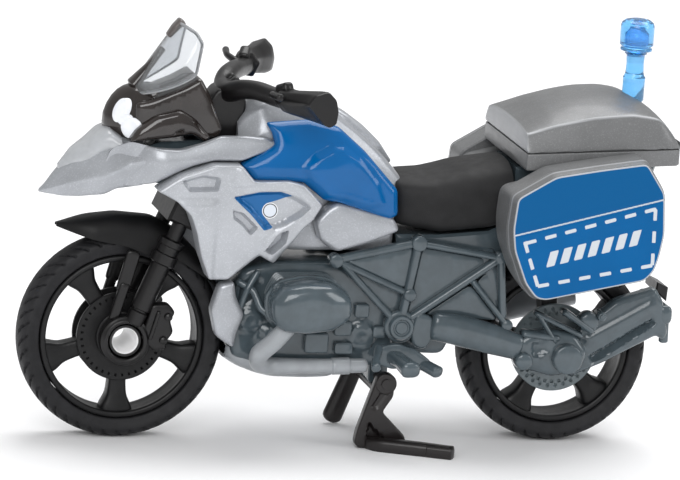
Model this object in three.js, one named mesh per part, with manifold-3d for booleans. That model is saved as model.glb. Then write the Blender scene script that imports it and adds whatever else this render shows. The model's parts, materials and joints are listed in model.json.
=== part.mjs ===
// Pocket-size police adventure-touring motorcycle, rolling on its wheels and parked on a folding
// centre stand. Millimetres. X runs forward, Y to the rider's left, Z up, ground at Z = 0.
import * as THREE from "three";
import { mergeVertices } from "three/addons/utils/BufferGeometryUtils.js";
import Module from "manifold-3d";

const wasm = await Module();
wasm.setup();

// ---- Driving dimensions ----
const wheelbase = 47.6;
const frontWheelRadius = 11.05;
const rearWheelRadius = 10.34;
const frontTyreWidth = 4.2;
const rearTyreWidth = 5.4;
const rimLipDepth = 2.95;          // tyre surface to the inside of the rim lip
const rimLipWall = 0.6;
const tyreWallDepth = rimLipDepth - rimLipWall - 0.05;
const rimInset = 0.4;              // rim face below the tyre shoulder
const frontSpokeDegrees = -18;
const rearSpokeDegrees = -62;
const discRadius = 4.8;
const discInnerRadius = 3.1;
const discThickness = 0.35;
const axleSleeveRadius = 1.75;     // hollow front axle
const axleSleeveBore = 1.3;
const rearAxleRadius = 1.2;
const stemRadius = 1.5;
const standPinRadius = 0.55;
const lightStemRadius = 1.25;
const lightHeadRadius = 1.85;
const forkLegRadius = 0.95;
const forkTubeRadius = 0.8;
const rakeDegrees = 22.5;
const coreHalfWidth = 4.6;         // engine and gearbox castings
const tankHalfWidth = 4.3;
const tankSideThickness = 2.3;
const shroudThickness = 2.9;
const sidePanelThickness = 1.9;
const trellisThickness = 1.2;
const cylinderLength = 2.8;
const headCoverLength = 4.5;
const swingarmThickness = 2.2;
const seatHalfWidth = 5.6;
const topCaseHalfWidth = 9.1;
const pannierClearance = 0.65;     // frame side to pannier
const pannierBodyDepth = 2.9;      // shelf to the lid joint
const pannierLidDepth = 2.1;
const handlebarHalfSpan = 15.4;
const barRadius = 0.75;
const exhaustRadius = 0.75;
const silencerRadius = 1.8;
const standLegThickness = 1.2;
const standFoldedDegrees = 80;
const steeringDegrees = 15;
const runningGap = 0.08;           // radial clearance of what turns
const partGap = 0.15;              // between neighbouring pieces
const wheelGap = 0.55;             // tyre to engine
const layerGap = 0.15;             // between side layers
const roundSteps = 32;

// The outlines below are drawn for this wheelbase and these wheels. The middle of the bike takes up a
// change of wheelbase, and everything rises with the top of the wheel that is nearest to it.
const drawnWheelbase = 47.6;
const drawnFrontRadius = 11.05;
const drawnRearRadius = 10.34;
const middleFront = 12;
const middleRear = -13;
const rake = THREE.MathUtils.degToRad(rakeDegrees);
const radiusChange = frontWheelRadius - drawnFrontRadius;
const frontShift = (wheelbase - drawnWheelbase) / 2 - radiusChange * Math.sin(rake);
const rearShift = (drawnWheelbase - wheelbase) / 2;
const frontLift = radiusChange * (1 + Math.cos(rake));
const rearLift = 2 * (rearWheelRadius - drawnRearRadius);

function at(x, z) {
  const share = THREE.MathUtils.clamp((x - middleRear) / (middleFront - middleRear), 0, 1);
  const shift = THREE.MathUtils.lerp(rearShift, frontShift, share);
  const lift = THREE.MathUtils.lerp(rearLift, frontLift, share);
  const wheelTop = 2 * THREE.MathUtils.lerp(drawnRearRadius, drawnFrontRadius, share);
  return [x + shift, z + lift * Math.min(1, z / wheelTop)];
}

function body(points) {
  return points.map(([x, z]) => at(x, z));
}

function place(x, y, z) {
  const [mappedX, mappedZ] = at(x, z);
  return new THREE.Vector3(mappedX, y, mappedZ);
}

const frontAxle = new THREE.Vector3(wheelbase / 2, 0, frontWheelRadius);
const rearAxle = new THREE.Vector3(-wheelbase / 2, 0, rearWheelRadius);
const sides = [{ name: "left", sign: 1 }, { name: "right", sign: -1 }];

// ---- Materials ----
function finish(color, roughness, metalness) {
  return new THREE.MeshStandardMaterial({ color, roughness, metalness });
}
const silverPaint = () => finish(0xbec0c4, 0.35, 0.4);
const bluePaint = () => finish(0x0e6db0, 0.2, 0.1);
const greyPlastic = () => finish(0x5a6469, 0.3, 0);
const blackPlastic = () => finish(0x202022, 0.45, 0);
const seatPlastic = () => finish(0x2a2a2b, 0.85, 0);
const caseGrey = () => finish(0x8c8e8e, 0.4, 0.2);
const clearPlastic = () => finish(0xe8eef0, 0.05, 0);
const smokePlastic = () => finish(0x17181a, 0.08, 0);
const whiteLens = () => finish(0xf2f4f6, 0.1, 0);
const clearBlue = () => finish(0x3fa4e8, 0.05, 0);
const steel = () => finish(0xa8acae, 0.3, 0.9);

// ---- Solids ----
function bare(geometry) {
  const copy = geometry.clone();
  copy.deleteAttribute("normal");
  copy.deleteAttribute("uv");
  return mergeVertices(copy, 1e-4);
}

function signedVolume(geometry) {
  const p = geometry.attributes.position;
  const index = geometry.index;
  const a = new THREE.Vector3();
  const b = new THREE.Vector3();
  const c = new THREE.Vector3();
  let sum = 0;
  for (let i = 0; i < index.count; i += 3) {
    a.fromBufferAttribute(p, index.getX(i));
    b.fromBufferAttribute(p, index.getX(i + 1));
    c.fromBufferAttribute(p, index.getX(i + 2));
    sum += a.dot(b.cross(c)) / 6;
  }
  return sum;
}

// Merged copy whose faces point outwards.
function closed(geometry) {
  const merged = bare(geometry);
  if (signedVolume(merged) > 0) return merged;
  const flipped = Array.from(merged.index.array);
  for (let i = 0; i < flipped.length; i += 3) {
    [flipped[i + 1], flipped[i + 2]] = [flipped[i + 2], flipped[i + 1]];
  }
  merged.setIndex(flipped);
  return merged;
}

function toSolid(geometry) {
  const merged = closed(geometry);
  const vertProperties = Float32Array.from(merged.attributes.position.array);
  const triVerts = Uint32Array.from(merged.index.array);
  return new wasm.Manifold(new wasm.Mesh({ numProp: 3, vertProperties, triVerts }));
}

function toGeometry(solid) {
  const mesh = solid.getMesh();
  const geometry = new THREE.BufferGeometry();
  geometry.setAttribute("position", new THREE.BufferAttribute(mesh.vertProperties, 3));
  geometry.setIndex(new THREE.BufferAttribute(mesh.triVerts, 1));
  return geometry;
}

function join(first, ...others) {
  return toGeometry(others.reduce((sum, next) => sum.add(toSolid(next)), toSolid(first)));
}

function cut(first, ...others) {
  return toGeometry(others.reduce((rest, next) => rest.subtract(toSolid(next)), toSolid(first)));
}

function common(first, second) {
  return toGeometry(toSolid(first).intersect(toSolid(second)));
}

function shapeOf(points) {
  return new THREE.Shape(points.map(([x, y]) => new THREE.Vector2(x, y)));
}

// Side outline [x, z] carried from yLow to yHigh, with its edges bevelled.
function slab(points, yLow, yHigh, bevel = 0.25) {
  const geometry = new THREE.ExtrudeGeometry(shapeOf(points), {
    depth: yHigh - yLow - 2 * bevel,
    bevelEnabled: bevel > 0,
    bevelThickness: bevel,
    bevelSize: bevel,
    bevelOffset: -bevel,
    bevelSegments: 1,
    steps: 1,
  });
  geometry.rotateX(Math.PI / 2);
  geometry.translate(0, yHigh - bevel, 0);
  return geometry;
}

// The same on one side of the bike, between two distances from the centre plane.
function sideSlab(points, near, far, sign, bevel = 0.25) {
  return sign > 0 ? slab(points, near, far, bevel) : slab(points, -far, -near, bevel);
}

// Plan outline [x, y] carried from zLow to zHigh.
function plan(points, zLow, zHigh) {
  const geometry = new THREE.ExtrudeGeometry(shapeOf(points), { depth: zHigh - zLow, bevelEnabled: false });
  geometry.translate(0, 0, zLow);
  return geometry;
}

function rod(from, to, radius, steps = 16) {
  const span = new THREE.Vector3().subVectors(to, from);
  const geometry = new THREE.CylinderGeometry(radius, radius, span.length(), steps);
  geometry.applyQuaternion(new THREE.Quaternion().setFromUnitVectors(
    new THREE.Vector3(0, 1, 0), span.clone().normalize()));
  const middle = new THREE.Vector3().addVectors(from, to).multiplyScalar(0.5);
  geometry.translate(middle.x, middle.y, middle.z);
  return geometry;
}

function crossRod(x, z, radius, yLow, yHigh, steps = 24) {
  return rod(new THREE.Vector3(x, yLow, z), new THREE.Vector3(x, yHigh, z), radius, steps);
}

function ring(inner, outer, yLow, yHigh, steps = roundSteps) {
  const profile = [[inner, yLow], [outer, yLow], [outer, yHigh], [inner, yHigh], [inner, yLow]];
  return new THREE.LatheGeometry(profile.map(([r, y]) => new THREE.Vector2(r, y)), steps);
}

function tube(points, radius, steps, sectionSteps = 8) {
  const section = new THREE.Shape();
  section.absarc(0, 0, radius, 0, 2 * Math.PI, false);
  const curve = new THREE.CatmullRomCurve3(points, false, "centripetal");
  return new THREE.ExtrudeGeometry(section, {
    steps, extrudePath: curve, curveSegments: sectionSteps, bevelEnabled: false });
}

// Rectangle of the given width laid from a to b in the side view.
function strip(a, b, width) {
  const dx = b[0] - a[0];
  const dz = b[1] - a[1];
  const scale = width / (2 * Math.hypot(dx, dz));
  const nx = -dz * scale;
  const nz = dx * scale;
  return [[a[0] + nx, a[1] + nz], [a[0] - nx, a[1] - nz], [b[0] - nx, b[1] - nz], [b[0] + nx, b[1] + nz]];
}

function arc(centre, radius, fromDegrees, toDegrees, steps) {
  return Array.from({ length: steps + 1 }, (_, i) => {
    const angle = THREE.MathUtils.degToRad(fromDegrees + ((toDegrees - fromDegrees) * i) / steps);
    return [centre[0] + radius * Math.cos(angle), centre[1] + radius * Math.sin(angle)];
  });
}

const motorcycle = new THREE.Group();

function add(name, geometry, material, parent = motorcycle) {
  const whole = closed(geometry);
  whole.computeVertexNormals();
  const mesh = new THREE.Mesh(whole, material);
  mesh.name = name;
  parent.add(mesh);
  return mesh;
}

// ---- Wheels ----
function tyre(radius, width) {
  const half = width / 2;
  const inner = radius - tyreWallDepth;
  const right = [[inner, 0.8], [inner + 0.5, 1], [radius - 0.85, 0.98], [radius - 0.25, 0.68],
    [radius, 0.24]];
  const left = right.slice().reverse();
  const profile = [
    ...right.map(([r, share]) => [r, -share * half]),
    ...left.map(([r, share]) => [r, share * half]),
    [inner, -0.8 * half],
  ];
  return new THREE.LatheGeometry(profile.map(([r, y]) => new THREE.Vector2(r, y)), roundSteps);
}

function brakeDisc(face, sign) {
  const low = sign > 0 ? face : -face - discThickness;
  return ring(discInnerRadius, discRadius, low, low + discThickness, 20);
}

// One moulding: lip, hub, spokes and the brake discs standing on the spokes.
function rim(radius, width, boreRadius, discSides, firstSpoke) {
  const face = width / 2 - rimInset;
  const lipInner = radius - rimLipDepth;
  const spokeCount = 5;
  const hubRadius = boreRadius + 1;
  const spokeFace = 0.7 * face;
  const pieces = [ring(boreRadius, hubRadius, -face, face)];
  pieces.push(...discSides.map((sign) => brakeDisc(spokeFace - 0.1, sign)));
  for (let i = 0; i < spokeCount; i += 1) {
    const spoke = slab([[hubRadius - 0.3, -1.15], [lipInner + 0.2, -0.85], [lipInner + 0.2, 0.85],
      [hubRadius - 0.3, 1.15]], -spokeFace, spokeFace);
    pieces.push(spoke.rotateY(-THREE.MathUtils.degToRad(firstSpoke + (360 / spokeCount) * i)));
  }
  return join(ring(lipInner, lipInner + rimLipWall, -face, face), ...pieces);
}

const frontWheel = new THREE.Group();
frontWheel.position.copy(frontAxle);
motorcycle.add(frontWheel);
add("front_tyre", tyre(frontWheelRadius, frontTyreWidth), blackPlastic(), frontWheel);
add("front_rim", rim(frontWheelRadius, frontTyreWidth, axleSleeveRadius + partGap / 3, [1, -1],
  frontSpokeDegrees), blackPlastic(), frontWheel);

const rearWheel = new THREE.Group();
rearWheel.position.copy(rearAxle);
motorcycle.add(rearWheel);
add("rear_tyre", tyre(rearWheelRadius, rearTyreWidth), blackPlastic(), rearWheel);
add("rear_rim", rim(rearWheelRadius, rearTyreWidth, rearAxleRadius + runningGap, [1],
  rearSpokeDegrees), blackPlastic(), rearWheel);

// ---- Fork, fender and handlebar, in a frame at the front axle with Z along the steering axis ----
const steering = new THREE.Group();
steering.position.copy(frontAxle);
steering.rotation.y = -rake;
motorcycle.add(steering);

const forkBossRadius = 2.7;
const forkInnerFace = frontTyreWidth / 2 + 0.4;
const forkBossDepth = 1.4;
const forkLegY = forkInnerFace + forkLegRadius;
const sleeveHalfLength = forkInnerFace + forkBossDepth - 0.2;
const fenderGap = 0.35;
const fenderHeight = 2.25;
const crownLow = frontWheelRadius + 2.6;
const crownHeight = 2.3;
const crownHalfDepth = 1.7;
const crownHalfWidth = forkLegY + forkTubeRadius + 0.2;
const legTop = crownLow + crownHeight + 0.3;
const stemTop = crownLow + 10.4;
const clampHeight = 2.8;

add("front_axle_sleeve",
  ring(axleSleeveBore, axleSleeveRadius, -sleeveHalfLength, sleeveHalfLength, 24), steel(),
  frontWheel);

function forkLeg(sign) {
  const y = forkLegY * sign;
  const slider = rod(new THREE.Vector3(0, y, 1.9), new THREE.Vector3(0, y, frontWheelRadius - 0.4),
    forkLegRadius);
  const stanchion = rod(new THREE.Vector3(0, y, frontWheelRadius - 0.8), new THREE.Vector3(0, y, legTop),
    forkTubeRadius);
  const inside = forkInnerFace * sign;
  const outside = (forkInnerFace + forkBossDepth) * sign;
  const boss = crossRod(0, 0, forkBossRadius, Math.min(inside, outside), Math.max(inside, outside));
  const bore = crossRod(0, 0, axleSleeveRadius + runningGap, -forkLegY * 2, forkLegY * 2);
  const caliper = sideSlab([[-4.4, 0.7], [0, 0.7], [0, 4.4], [-2.4, 5.6], [-3.9, 3.6]],
    forkInnerFace + 0.05, forkInnerFace + forkBossDepth, sign, 0.2);
  return cut(join(slider, stanchion, boss, caliper), bore);
}
for (const side of sides) {
  add(`fork_leg_${side.name}`, forkLeg(side.sign), blackPlastic(), steering);
}

function forkCrown() {
  const block = slab([[-crownHalfDepth, crownLow], [crownHalfDepth, crownLow],
    [crownHalfDepth, crownLow + crownHeight], [-crownHalfDepth, crownLow + crownHeight]],
  -crownHalfWidth, crownHalfWidth, 0.3);
  const bores = sides.map((side) => rod(
    new THREE.Vector3(0, forkLegY * side.sign, crownLow - 1),
    new THREE.Vector3(0, forkLegY * side.sign, crownLow + crownHeight + 1), forkTubeRadius + 0.1));
  return cut(block, ...bores);
}
add("fork_crown", forkCrown(), blackPlastic(), steering);
add("steering_stem",
  rod(new THREE.Vector3(0, 0, crownLow + crownHeight + 0.1), new THREE.Vector3(0, 0, stemTop),
  stemRadius, 24), steel(), steering);

// The fender's own arc follows the tyre; its nose runs out to a point ahead of the wheel.
function frontFender() {
  const hub = [0, 0];
  const inner = frontWheelRadius + fenderGap;
  const outer = inner + fenderHeight - 0.4;
  const under = arc(hub, inner, 42, 132, 12);
  const over = [
    ...arc(hub, inner + 0.4, 132, 129, 1),
    ...arc(hub, outer, 104, 62, 6),
    [(outer + 0.7) * Math.cos(0.61), (outer + 0.7) * Math.sin(0.61)],
  ];
  return slab([...under, ...over], -forkInnerFace + 0.2, forkInnerFace - 0.2, 0.2);
}
add("front_fender", frontFender(), blackPlastic(), steering);

function handlebar() {
  const rise = stemTop + clampHeight + barRadius + 0.1;
  const half = [[8.9, 0.9, 2.2], [5.2, 0.9, 1.4], [2.2, 0.1, 0.1]];
  const points = [
    ...half.map(([y, x, z]) => new THREE.Vector3(x - 0.6, y, rise + z)),
    ...half.slice().reverse().map(([y, x, z]) => new THREE.Vector3(x - 0.6, -y, rise + z)),
  ];
  const clamp = slab([[-1.6, stemTop + 0.1], [1.6, stemTop + 0.1], [1.4, rise], [-1.4, rise]],
    -2.1, 2.1, 0.3);
  return join(clamp, tube(points, barRadius, 14));
}
add("handlebar", handlebar(), blackPlastic(), steering);

const gripInner = 9.3;
function grip(sign) {
  const rise = stemTop + clampHeight + barRadius + 2.1;
  return sideSlab([[-3.9, rise - 2.4], [-2.2, rise - 2.6], [1.4, rise - 0.4], [1.3, rise + 1.2],
    [-0.3, rise + 1.6], [-3.6, rise + 0.6]], gripInner, handlebarHalfSpan, sign, 0.4);
}
for (const side of sides) {
  add(`hand_guard_${side.name}`, grip(side.sign), blackPlastic(), steering);
}

// ---- Engine and drive ----
const engineRear = -5.5;
const engineFloor = 8.6;
const engineFront = frontAxle.x - frontWheelRadius - wheelGap;
const standPivot = place(-4.4, 0, 7.1);
const engineUnderside = place(-4.4, 0, engineFloor).z;
const lugHalfWidth = 2.2;

// Crankcase, gearbox behind it and the lug that carries the stand, in one casting.
function engineBlock() {
  const front = [[engineFront - 1.2, at(11, engineFloor + 0.4)[1]], [engineFront, at(12, 10.4)[1]],
    [engineFront, at(12, 17.6)[1]], [engineFront - 1, at(11, 19.6)[1]]];
  const rest = body([[-2.5, 19.6], [engineRear, 18], [engineRear, 10.2], [-3.6, engineFloor],
    [8.8, engineFloor]]);
  const crankcase = slab([...front, ...rest], -coreHalfWidth, coreHalfWidth, 0.5);
  const gearbox = slab(body([[engineRear + 0.5, 9.8], [engineRear + 0.5, 20.6], [-12.2, 20.6], [-12.5, 14],
    [-10.8, 9.8]]), -coreHalfWidth + 0.2, coreHalfWidth - 0.2, 0.5);
  const lug = slab([[standPivot.x - 1.2, standPivot.z - 0.9], [standPivot.x + 1.2, standPivot.z - 0.9],
    [standPivot.x + 1.2, engineUnderside + 0.8], [standPivot.x - 1.2, engineUnderside + 1.6]],
  -lugHalfWidth, lugHalfWidth, 0.1);
  const bore = crossRod(standPivot.x, standPivot.z, standPinRadius + partGap / 3, -lugHalfWidth * 2,
    lugHalfWidth * 2);
  return cut(join(crankcase, gearbox, lug), bore);
}
add("engine_block", engineBlock(), greyPlastic());

const cylinderInner = coreHalfWidth + layerGap;
const cylinderOuter = cylinderInner + cylinderLength;
function cylinder(sign) {
  const barrel = [[9, 14], [8.2, 18.8], [2.4, 18.8], [1.9, 14.2], [3, 13.6], [8.2, 13.4]];
  const fin = [[9.8, 13.6], [8.8, 19.2], [1.8, 19.2], [1.2, 13.8], [2.6, 13], [9, 12.9]];
  const finCount = 4;
  const pitch = cylinderLength / finCount;
  const fins = Array.from({ length: finCount }, (_, i) => sideSlab(body(fin),
    cylinderInner + 0.1 + pitch * i, cylinderInner + 0.1 + pitch * i + pitch / 2, sign, 0));
  return join(sideSlab(body(barrel), cylinderInner, cylinderOuter, sign, 0), ...fins);
}
const headInner = cylinderOuter + layerGap;
for (const side of sides) {
  add(`cylinder_${side.name}`, cylinder(side.sign), greyPlastic());
  add(`head_cover_${side.name}`, sideSlab(body([[9.8, 17.5], [8.4, 19.2], [3.8, 19.2], [1.9, 17.6], [2, 15.4],
    [3.7, 14], [8, 13.9], [9.5, 15.2]]), headInner, headInner + headCoverLength, side.sign, 0.9),
  greyPlastic());
}

const pipeLane = coreHalfWidth + layerGap + exhaustRadius;
function exhaustHeader(sign) {
  const points = [[8.4, headInner + 1.6, 12.9], [10.4, headInner + 0.9, 11], [9.9, headInner - 0.6, 9.2],
    [7.6, pipeLane + 0.1, 8.9], [2, pipeLane + 0.1, 8.9],
    [-1.9, pipeLane + 0.1, 9]];
  return tube(points.map(([x, y, z]) => place(x, y * sign, z)), exhaustRadius, 15);
}
for (const side of sides) {
  add(`exhaust_header_${side.name}`, exhaustHeader(side.sign), silverPaint());
}

const silencerY = -(coreHalfWidth + layerGap + trellisThickness + partGap + silencerRadius);
function silencer() {
  const points = [[-2.3, -pipeLane - 0.2, 8.6], [-4.4, silencerY + 0.5, 7.5], [-8.6, silencerY, 7.9],
    [-12.2, silencerY, 10.6]];
  const link = tube(points.map(([x, y, z]) => place(x, y, z)), exhaustRadius, 10);
  const can = rod(place(-11.8, silencerY, 10.6), place(-28, silencerY - 0.4, 14.6), silencerRadius, 24);
  return join(can, link);
}
add("silencer", silencer(), silverPaint());

function bellyPan() {
  const lip = [[engineFront, at(12, 10)[1]], [engineFront - 0.9, at(11, 8.2)[1]]];
  const floor = body([[7.6, 7], [1.3, 7], [0.9, 7.7], [-2.3, 8.1], [-2.3, engineFloor - partGap],
    [8.9, engineFloor - partGap]]);
  const inside = [[engineFront - 1.1, at(11, 8.7)[1]], [engineFront - 0.2, at(12, 10)[1]]];
  return slab([...lip, ...floor, ...inside], -coreHalfWidth + 0.4, coreHalfWidth - 0.4, 0.1);
}
add("belly_pan", bellyPan(), silverPaint());
for (const side of sides) {
  add(`front_spoiler_${side.name}`, sideSlab(body([[15.1, 15.6], [14.2, 18], [11.5, 14.5], [12.7, 11.2]]),
    coreHalfWidth + layerGap, coreHalfWidth + layerGap + 1.4, side.sign), silverPaint());
}

// ---- Frame sides ----
const trellisInner = coreHalfWidth + layerGap;
const trellisOuter = trellisInner + trellisThickness;
const frameA = [2, 20.6];
const frameB = [-6.9, 22.2];
const frameC = [-6.2, 16.8];
const frameP = [-5.4, 13.4];
const frameD = [-15.9, 20.9];
const frameE = [-13.1, 18.5];
const frameF = [-17.4, 13.9];
const pivotCapRadius = 1.3;
function trellis(sign) {
  const bars = [[frameA, frameB, 1], [frameA, frameC, 0.9], [[1.2, 20.2], frameP, 0.8], [frameB, frameP, 1.1],
    [[-6.6, 14.2], frameD, 1.1], [frameB, frameD, 0.9], [frameE, frameF, 0.9], [frameD, [-16.7, 14.6], 1.1]];
  const pieces = bars.map(([a, b, width]) => sideSlab(body(strip(a, b, width)),
    trellisInner, trellisOuter, sign, 0));
  const bosses = [[frameA, 0.75], [frameB, 0.9], [frameC, 0.75], [frameP, 1.5], [frameD, 0.75],
    [frameF, 0.7]];
  for (const [[x, z], radius] of bosses) {
    const low = sign > 0 ? trellisInner : -trellisOuter;
    pieces.push(crossRod(...at(x, z), radius, low, low + trellisThickness, 16));
  }
  const capReach = trellisOuter + 0.7;
  pieces.push(crossRod(...at(...frameP), pivotCapRadius,
    sign > 0 ? trellisInner : -capReach, sign > 0 ? capReach : -trellisInner));
  return join(...pieces);
}
for (const side of sides) {
  add(`frame_side_${side.name}`, trellis(side.sign), greyPlastic());
}

// ---- Swingarm, final drive and rear axle ----
const driveInner = rearTyreWidth / 2 + 1.8;
const driveOuter = driveInner + 2.9;
const holderInner = rearTyreWidth / 2 + 0.45;
const holderOuter = driveInner - partGap;
const driveRadius = 2.7;
const axleHeadRadius = 1.9;
const axleHeadDepth = 1;
function swingarm() {
  const arm = [at(-9.2, 14.6), at(-9.4, 11.6), [rearAxle.x + 1.4, rearAxle.z - 1.2],
    [rearAxle.x + 1.4, rearAxle.z + 1.5], [rearAxle.x + 4.8, rearAxle.z + 1.8]];
  const shaft = slab(arm, trellisInner, trellisInner + swingarmThickness, 0.4);
  const housing = crossRod(rearAxle.x, rearAxle.z, driveRadius, driveInner, driveOuter);
  const bolt = crossRod(rearAxle.x + 4.7, rearAxle.z - 0.4, 0.85, trellisInner, driveOuter, 16);
  const bore = crossRod(rearAxle.x, rearAxle.z, rearAxleRadius + runningGap, 0, driveOuter - 0.8);
  const cap = crossRod(rearAxle.x, rearAxle.z, 1.45, driveOuter - 0.5, driveOuter + 0.5);
  return cut(join(shaft, housing, bolt, cap), bore);
}
add("swingarm", swingarm(), greyPlastic());

function rearAxlePin() {
  const headOuter = -rearTyreWidth / 2 - 0.4 - axleHeadDepth;
  const pin = crossRod(rearAxle.x, rearAxle.z, rearAxleRadius, headOuter + 0.3, driveOuter - 1);
  const head = crossRod(rearAxle.x, rearAxle.z, axleHeadRadius, headOuter, headOuter + axleHeadDepth);
  return join(pin, head);
}
add("rear_axle", rearAxlePin(), steel());

// Carrier of the rear light: clamped on the axle inside the drive housing, it runs back past the
// tyre and turns in behind it.
const tailX = rearAxle.x - rearWheelRadius;
function lightCarrier() {
  const eye = crossRod(rearAxle.x, rearAxle.z, 2.2, holderInner, holderOuter);
  const arm = slab([[rearAxle.x - 1, rearAxle.z - 1.6], [rearAxle.x - 1, rearAxle.z + 1.2],
    [tailX - 0.6, rearAxle.z + 6], [tailX - 1.4, rearAxle.z + 4.2], [rearAxle.x - 3, rearAxle.z - 1.2]],
  holderInner, holderOuter, 0.15);
  const cross = slab([[tailX - 0.5, rearAxle.z + 2.4], [tailX - 0.5, rearAxle.z + 6.2],
    [tailX - 1.7, rearAxle.z + 5],
    [tailX - 1.9, rearAxle.z + 1.6]], -holderOuter, holderOuter, 0.15);
  return cut(join(eye, arm, cross), crossRod(rearAxle.x, rearAxle.z, rearAxleRadius + runningGap, 0, driveOuter));
}
add("light_carrier", lightCarrier(), greyPlastic());
add("tail_light", slab([[tailX - 0.5, rearAxle.z + 6.4], [tailX - 1.8, rearAxle.z + 5.25],
  [tailX - 1.9, rearAxle.z + 6.8], [tailX - 0.6, rearAxle.z + 7.4]], -2.2, 2.2, 0.15), smokePlastic());

// ---- Foot rests ----
const pegInner = trellisOuter + 0.2;
const pegOuter = pegInner + 5;
function footRest(sign) {
  const plate = sideSlab(body([[-2.5, 9.9], [-2.9, 11.6], [-7, 11.5], [-8.8, 10], [-8.2, 8.8], [-5.8, 9.3]]),
    pegInner, pegInner + 0.9, sign, 0.15);
  const low = sign > 0 ? pegInner + 0.5 : -pegOuter;
  const peg = crossRod(...at(-5, 10.5), 0.75, low, low + pegOuter - pegInner - 0.5, 12);
  return join(plate, peg);
}
for (const side of sides) {
  add(`foot_rest_${side.name}`, footRest(side.sign), blackPlastic());
}

// ---- Centre stand ----
const standLegInner = lugHalfWidth + 2.5;
const standLegOuter = standLegInner + standLegThickness;
const footX = standPivot.x + 2.3;
const standBarZ = standPivot.z * 0.45;
function standLeg(sign) {
  const hip = [standPivot.x, standPivot.z];
  const foot = [footX, 0];
  const leg = sideSlab([[hip[0] - 1.1, hip[1] + 0.8], [hip[0] - 1, hip[1] - 1.2], [foot[0] - 1.2, foot[1]],
    [foot[0] + 0.5, foot[1]], [foot[0] + 0.9, foot[1] + 0.9], [hip[0] + 1, hip[1] + 0.8]],
  standLegInner, standLegOuter, sign, 0);
  const sole = sideSlab([[foot[0] - 1.6, 0], [foot[0] + 0.6, 0], [foot[0] + 0.7, 0.7], [foot[0] - 1.6, 0.9]],
    standLegInner, standLegOuter + 1.8, sign, 0);
  return join(leg, sole);
}
function centreStand() {
  const barX = standPivot.x + 1.25;
  const bar = crossRod(barX, standBarZ, 0.6, -standLegInner - 0.3, standLegInner + 0.3, 12);
  const gusset = slab([[footX - 2, 3.6], [footX - 4.9, 1.3], [footX - 4.9, 0.6], [footX - 1, 0.6]],
    standLegInner, standLegOuter, 0);
  const lever = plan([[footX - 0.8, standLegInner + 0.2], [footX - 0.6, standLegOuter + 1.7],
    [footX - 9, standLegOuter + 4.6], [footX - 9.2, standLegOuter + 3.4], [footX - 4, standLegInner + 0.1]], 0, 0.9);
  const hole = crossRod(standPivot.x, standPivot.z, standPinRadius + runningGap, -standLegOuter * 2,
    standLegOuter * 2);
  return cut(join(standLeg(1), standLeg(-1), bar, gusset, lever), hole);
}
add("centre_stand", centreStand(), blackPlastic());
add("stand_pin", crossRod(standPivot.x, standPivot.z, standPinRadius, -standLegOuter - 0.3, standLegOuter + 0.3, 24),
  steel());

// ---- Tank, fairing and side panels ----
function stemChannel() {
  const axis = new THREE.Vector3(-Math.sin(rake), 0, Math.cos(rake));
  return rod(frontAxle.clone().addScaledVector(axis, frontWheelRadius), frontAxle.clone().addScaledVector(axis,
    stemTop + 4), stemRadius + 0.3, 24);
}
add("tank", cut(slab(body([[12.1, 33.4], [11.2, 36.4], [9.8, 37.5], [5.6, 37.5], [3.4, 36.7], [1.2, 35.2],
  [-2.4, 32.4], [-5.2, 29.1], [-4.6, 24.2], [-4.4, 21], [15.2, 21], [14.9, 26.4], [13.6, 30]]),
-tankHalfWidth, tankHalfWidth, 0.9), stemChannel()), silverPaint());
add("steering_head", cut(slab(body([[13, 32.7], [14.3, 29.6], [15.4, 27], [22.4, 28.2], [24.5, 31.2], [21, 32.4],
  [16.8, 32.7]]), -3, 3, 0.2), stemChannel()), greyPlastic());

const panelInner = Math.max(crownHalfWidth + 2 * layerGap, coreHalfWidth + layerGap);
for (const side of sides) {
  add(`tank_side_${side.name}`, sideSlab(body([[12.2, 30.9], [9.2, 32.4], [8.9, 33.2], [9.5, 34.2], [5.6, 34.6],
    [2.6, 34.6], [-0.4, 32.2], [-4.1, 28.3], [-4.3, 25.7], [2.2, 27.2], [3.8, 27.3], [6.2, 29.2], [11.3, 29.3]]),
  panelInner, panelInner + tankSideThickness, side.sign, 0.3), bluePaint());
  add(`side_shroud_${side.name}`, sideSlab(body([[21.9, 28], [19.5, 29.5], [16, 30.7], [13.1, 30.7], [11.6, 28.9],
    [7.9, 28.9], [6.4, 28.7], [4.3, 26.8], [6.2, 24.3], [9.2, 20.2], [9.5, 23.1], [13.8, 18.5], [15.9, 18.5],
    [17, 21.2], [18.1, 25.3], [19.8, 26.9]]), panelInner, panelInner + shroudThickness, side.sign, 0.25),
  silverPaint());
  add(`rear_side_panel_${side.name}`, sideSlab(body([[4.5, 24.8], [2.4, 26.6], [-3.7, 25.3], [-4.5, 23.9],
    [2.1, 21.7], [3.9, 22.7]]), panelInner, panelInner + sidePanelThickness, side.sign, 0.25), silverPaint());
  add(`fairing_wing_${side.name}`, sideSlab(body([[24.3, 32.8], [19.4, 32], [15, 33.6], [10.2, 33.4], [9.4, 32.8],
    [12.8, 31.1], [15.8, 31.1], [19.4, 30], [22.1, 28.5], [24.3, 28]]), panelInner, panelInner + 1.5, side.sign,
  0.2), silverPaint());
}

function beak() {
  const outline = slab(body([[33, 26.2], [31.8, 28.4], [30.1, 30.5], [26.6, 32.7], [25.1, 33], [25.1, 31.4],
    [22.9, 28.4], [22.8, 27.9], [25.5, 27.4], [26.9, 26.7], [29.5, 26.2]]), -coreHalfWidth, coreHalfWidth, 0.2);
  const taper = plan([[33.5, 0.5], [27, 3.6], [24, coreHalfWidth], [20, coreHalfWidth], [20, -coreHalfWidth],
    [24, -coreHalfWidth], [27, -3.6], [33.5, -0.5]].map(([x, y]) => [x + frontShift, y]), 20 + frontLift,
  40 + frontLift);
  return common(outline, taper);
}
add("beak", beak(), silverPaint());

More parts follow.
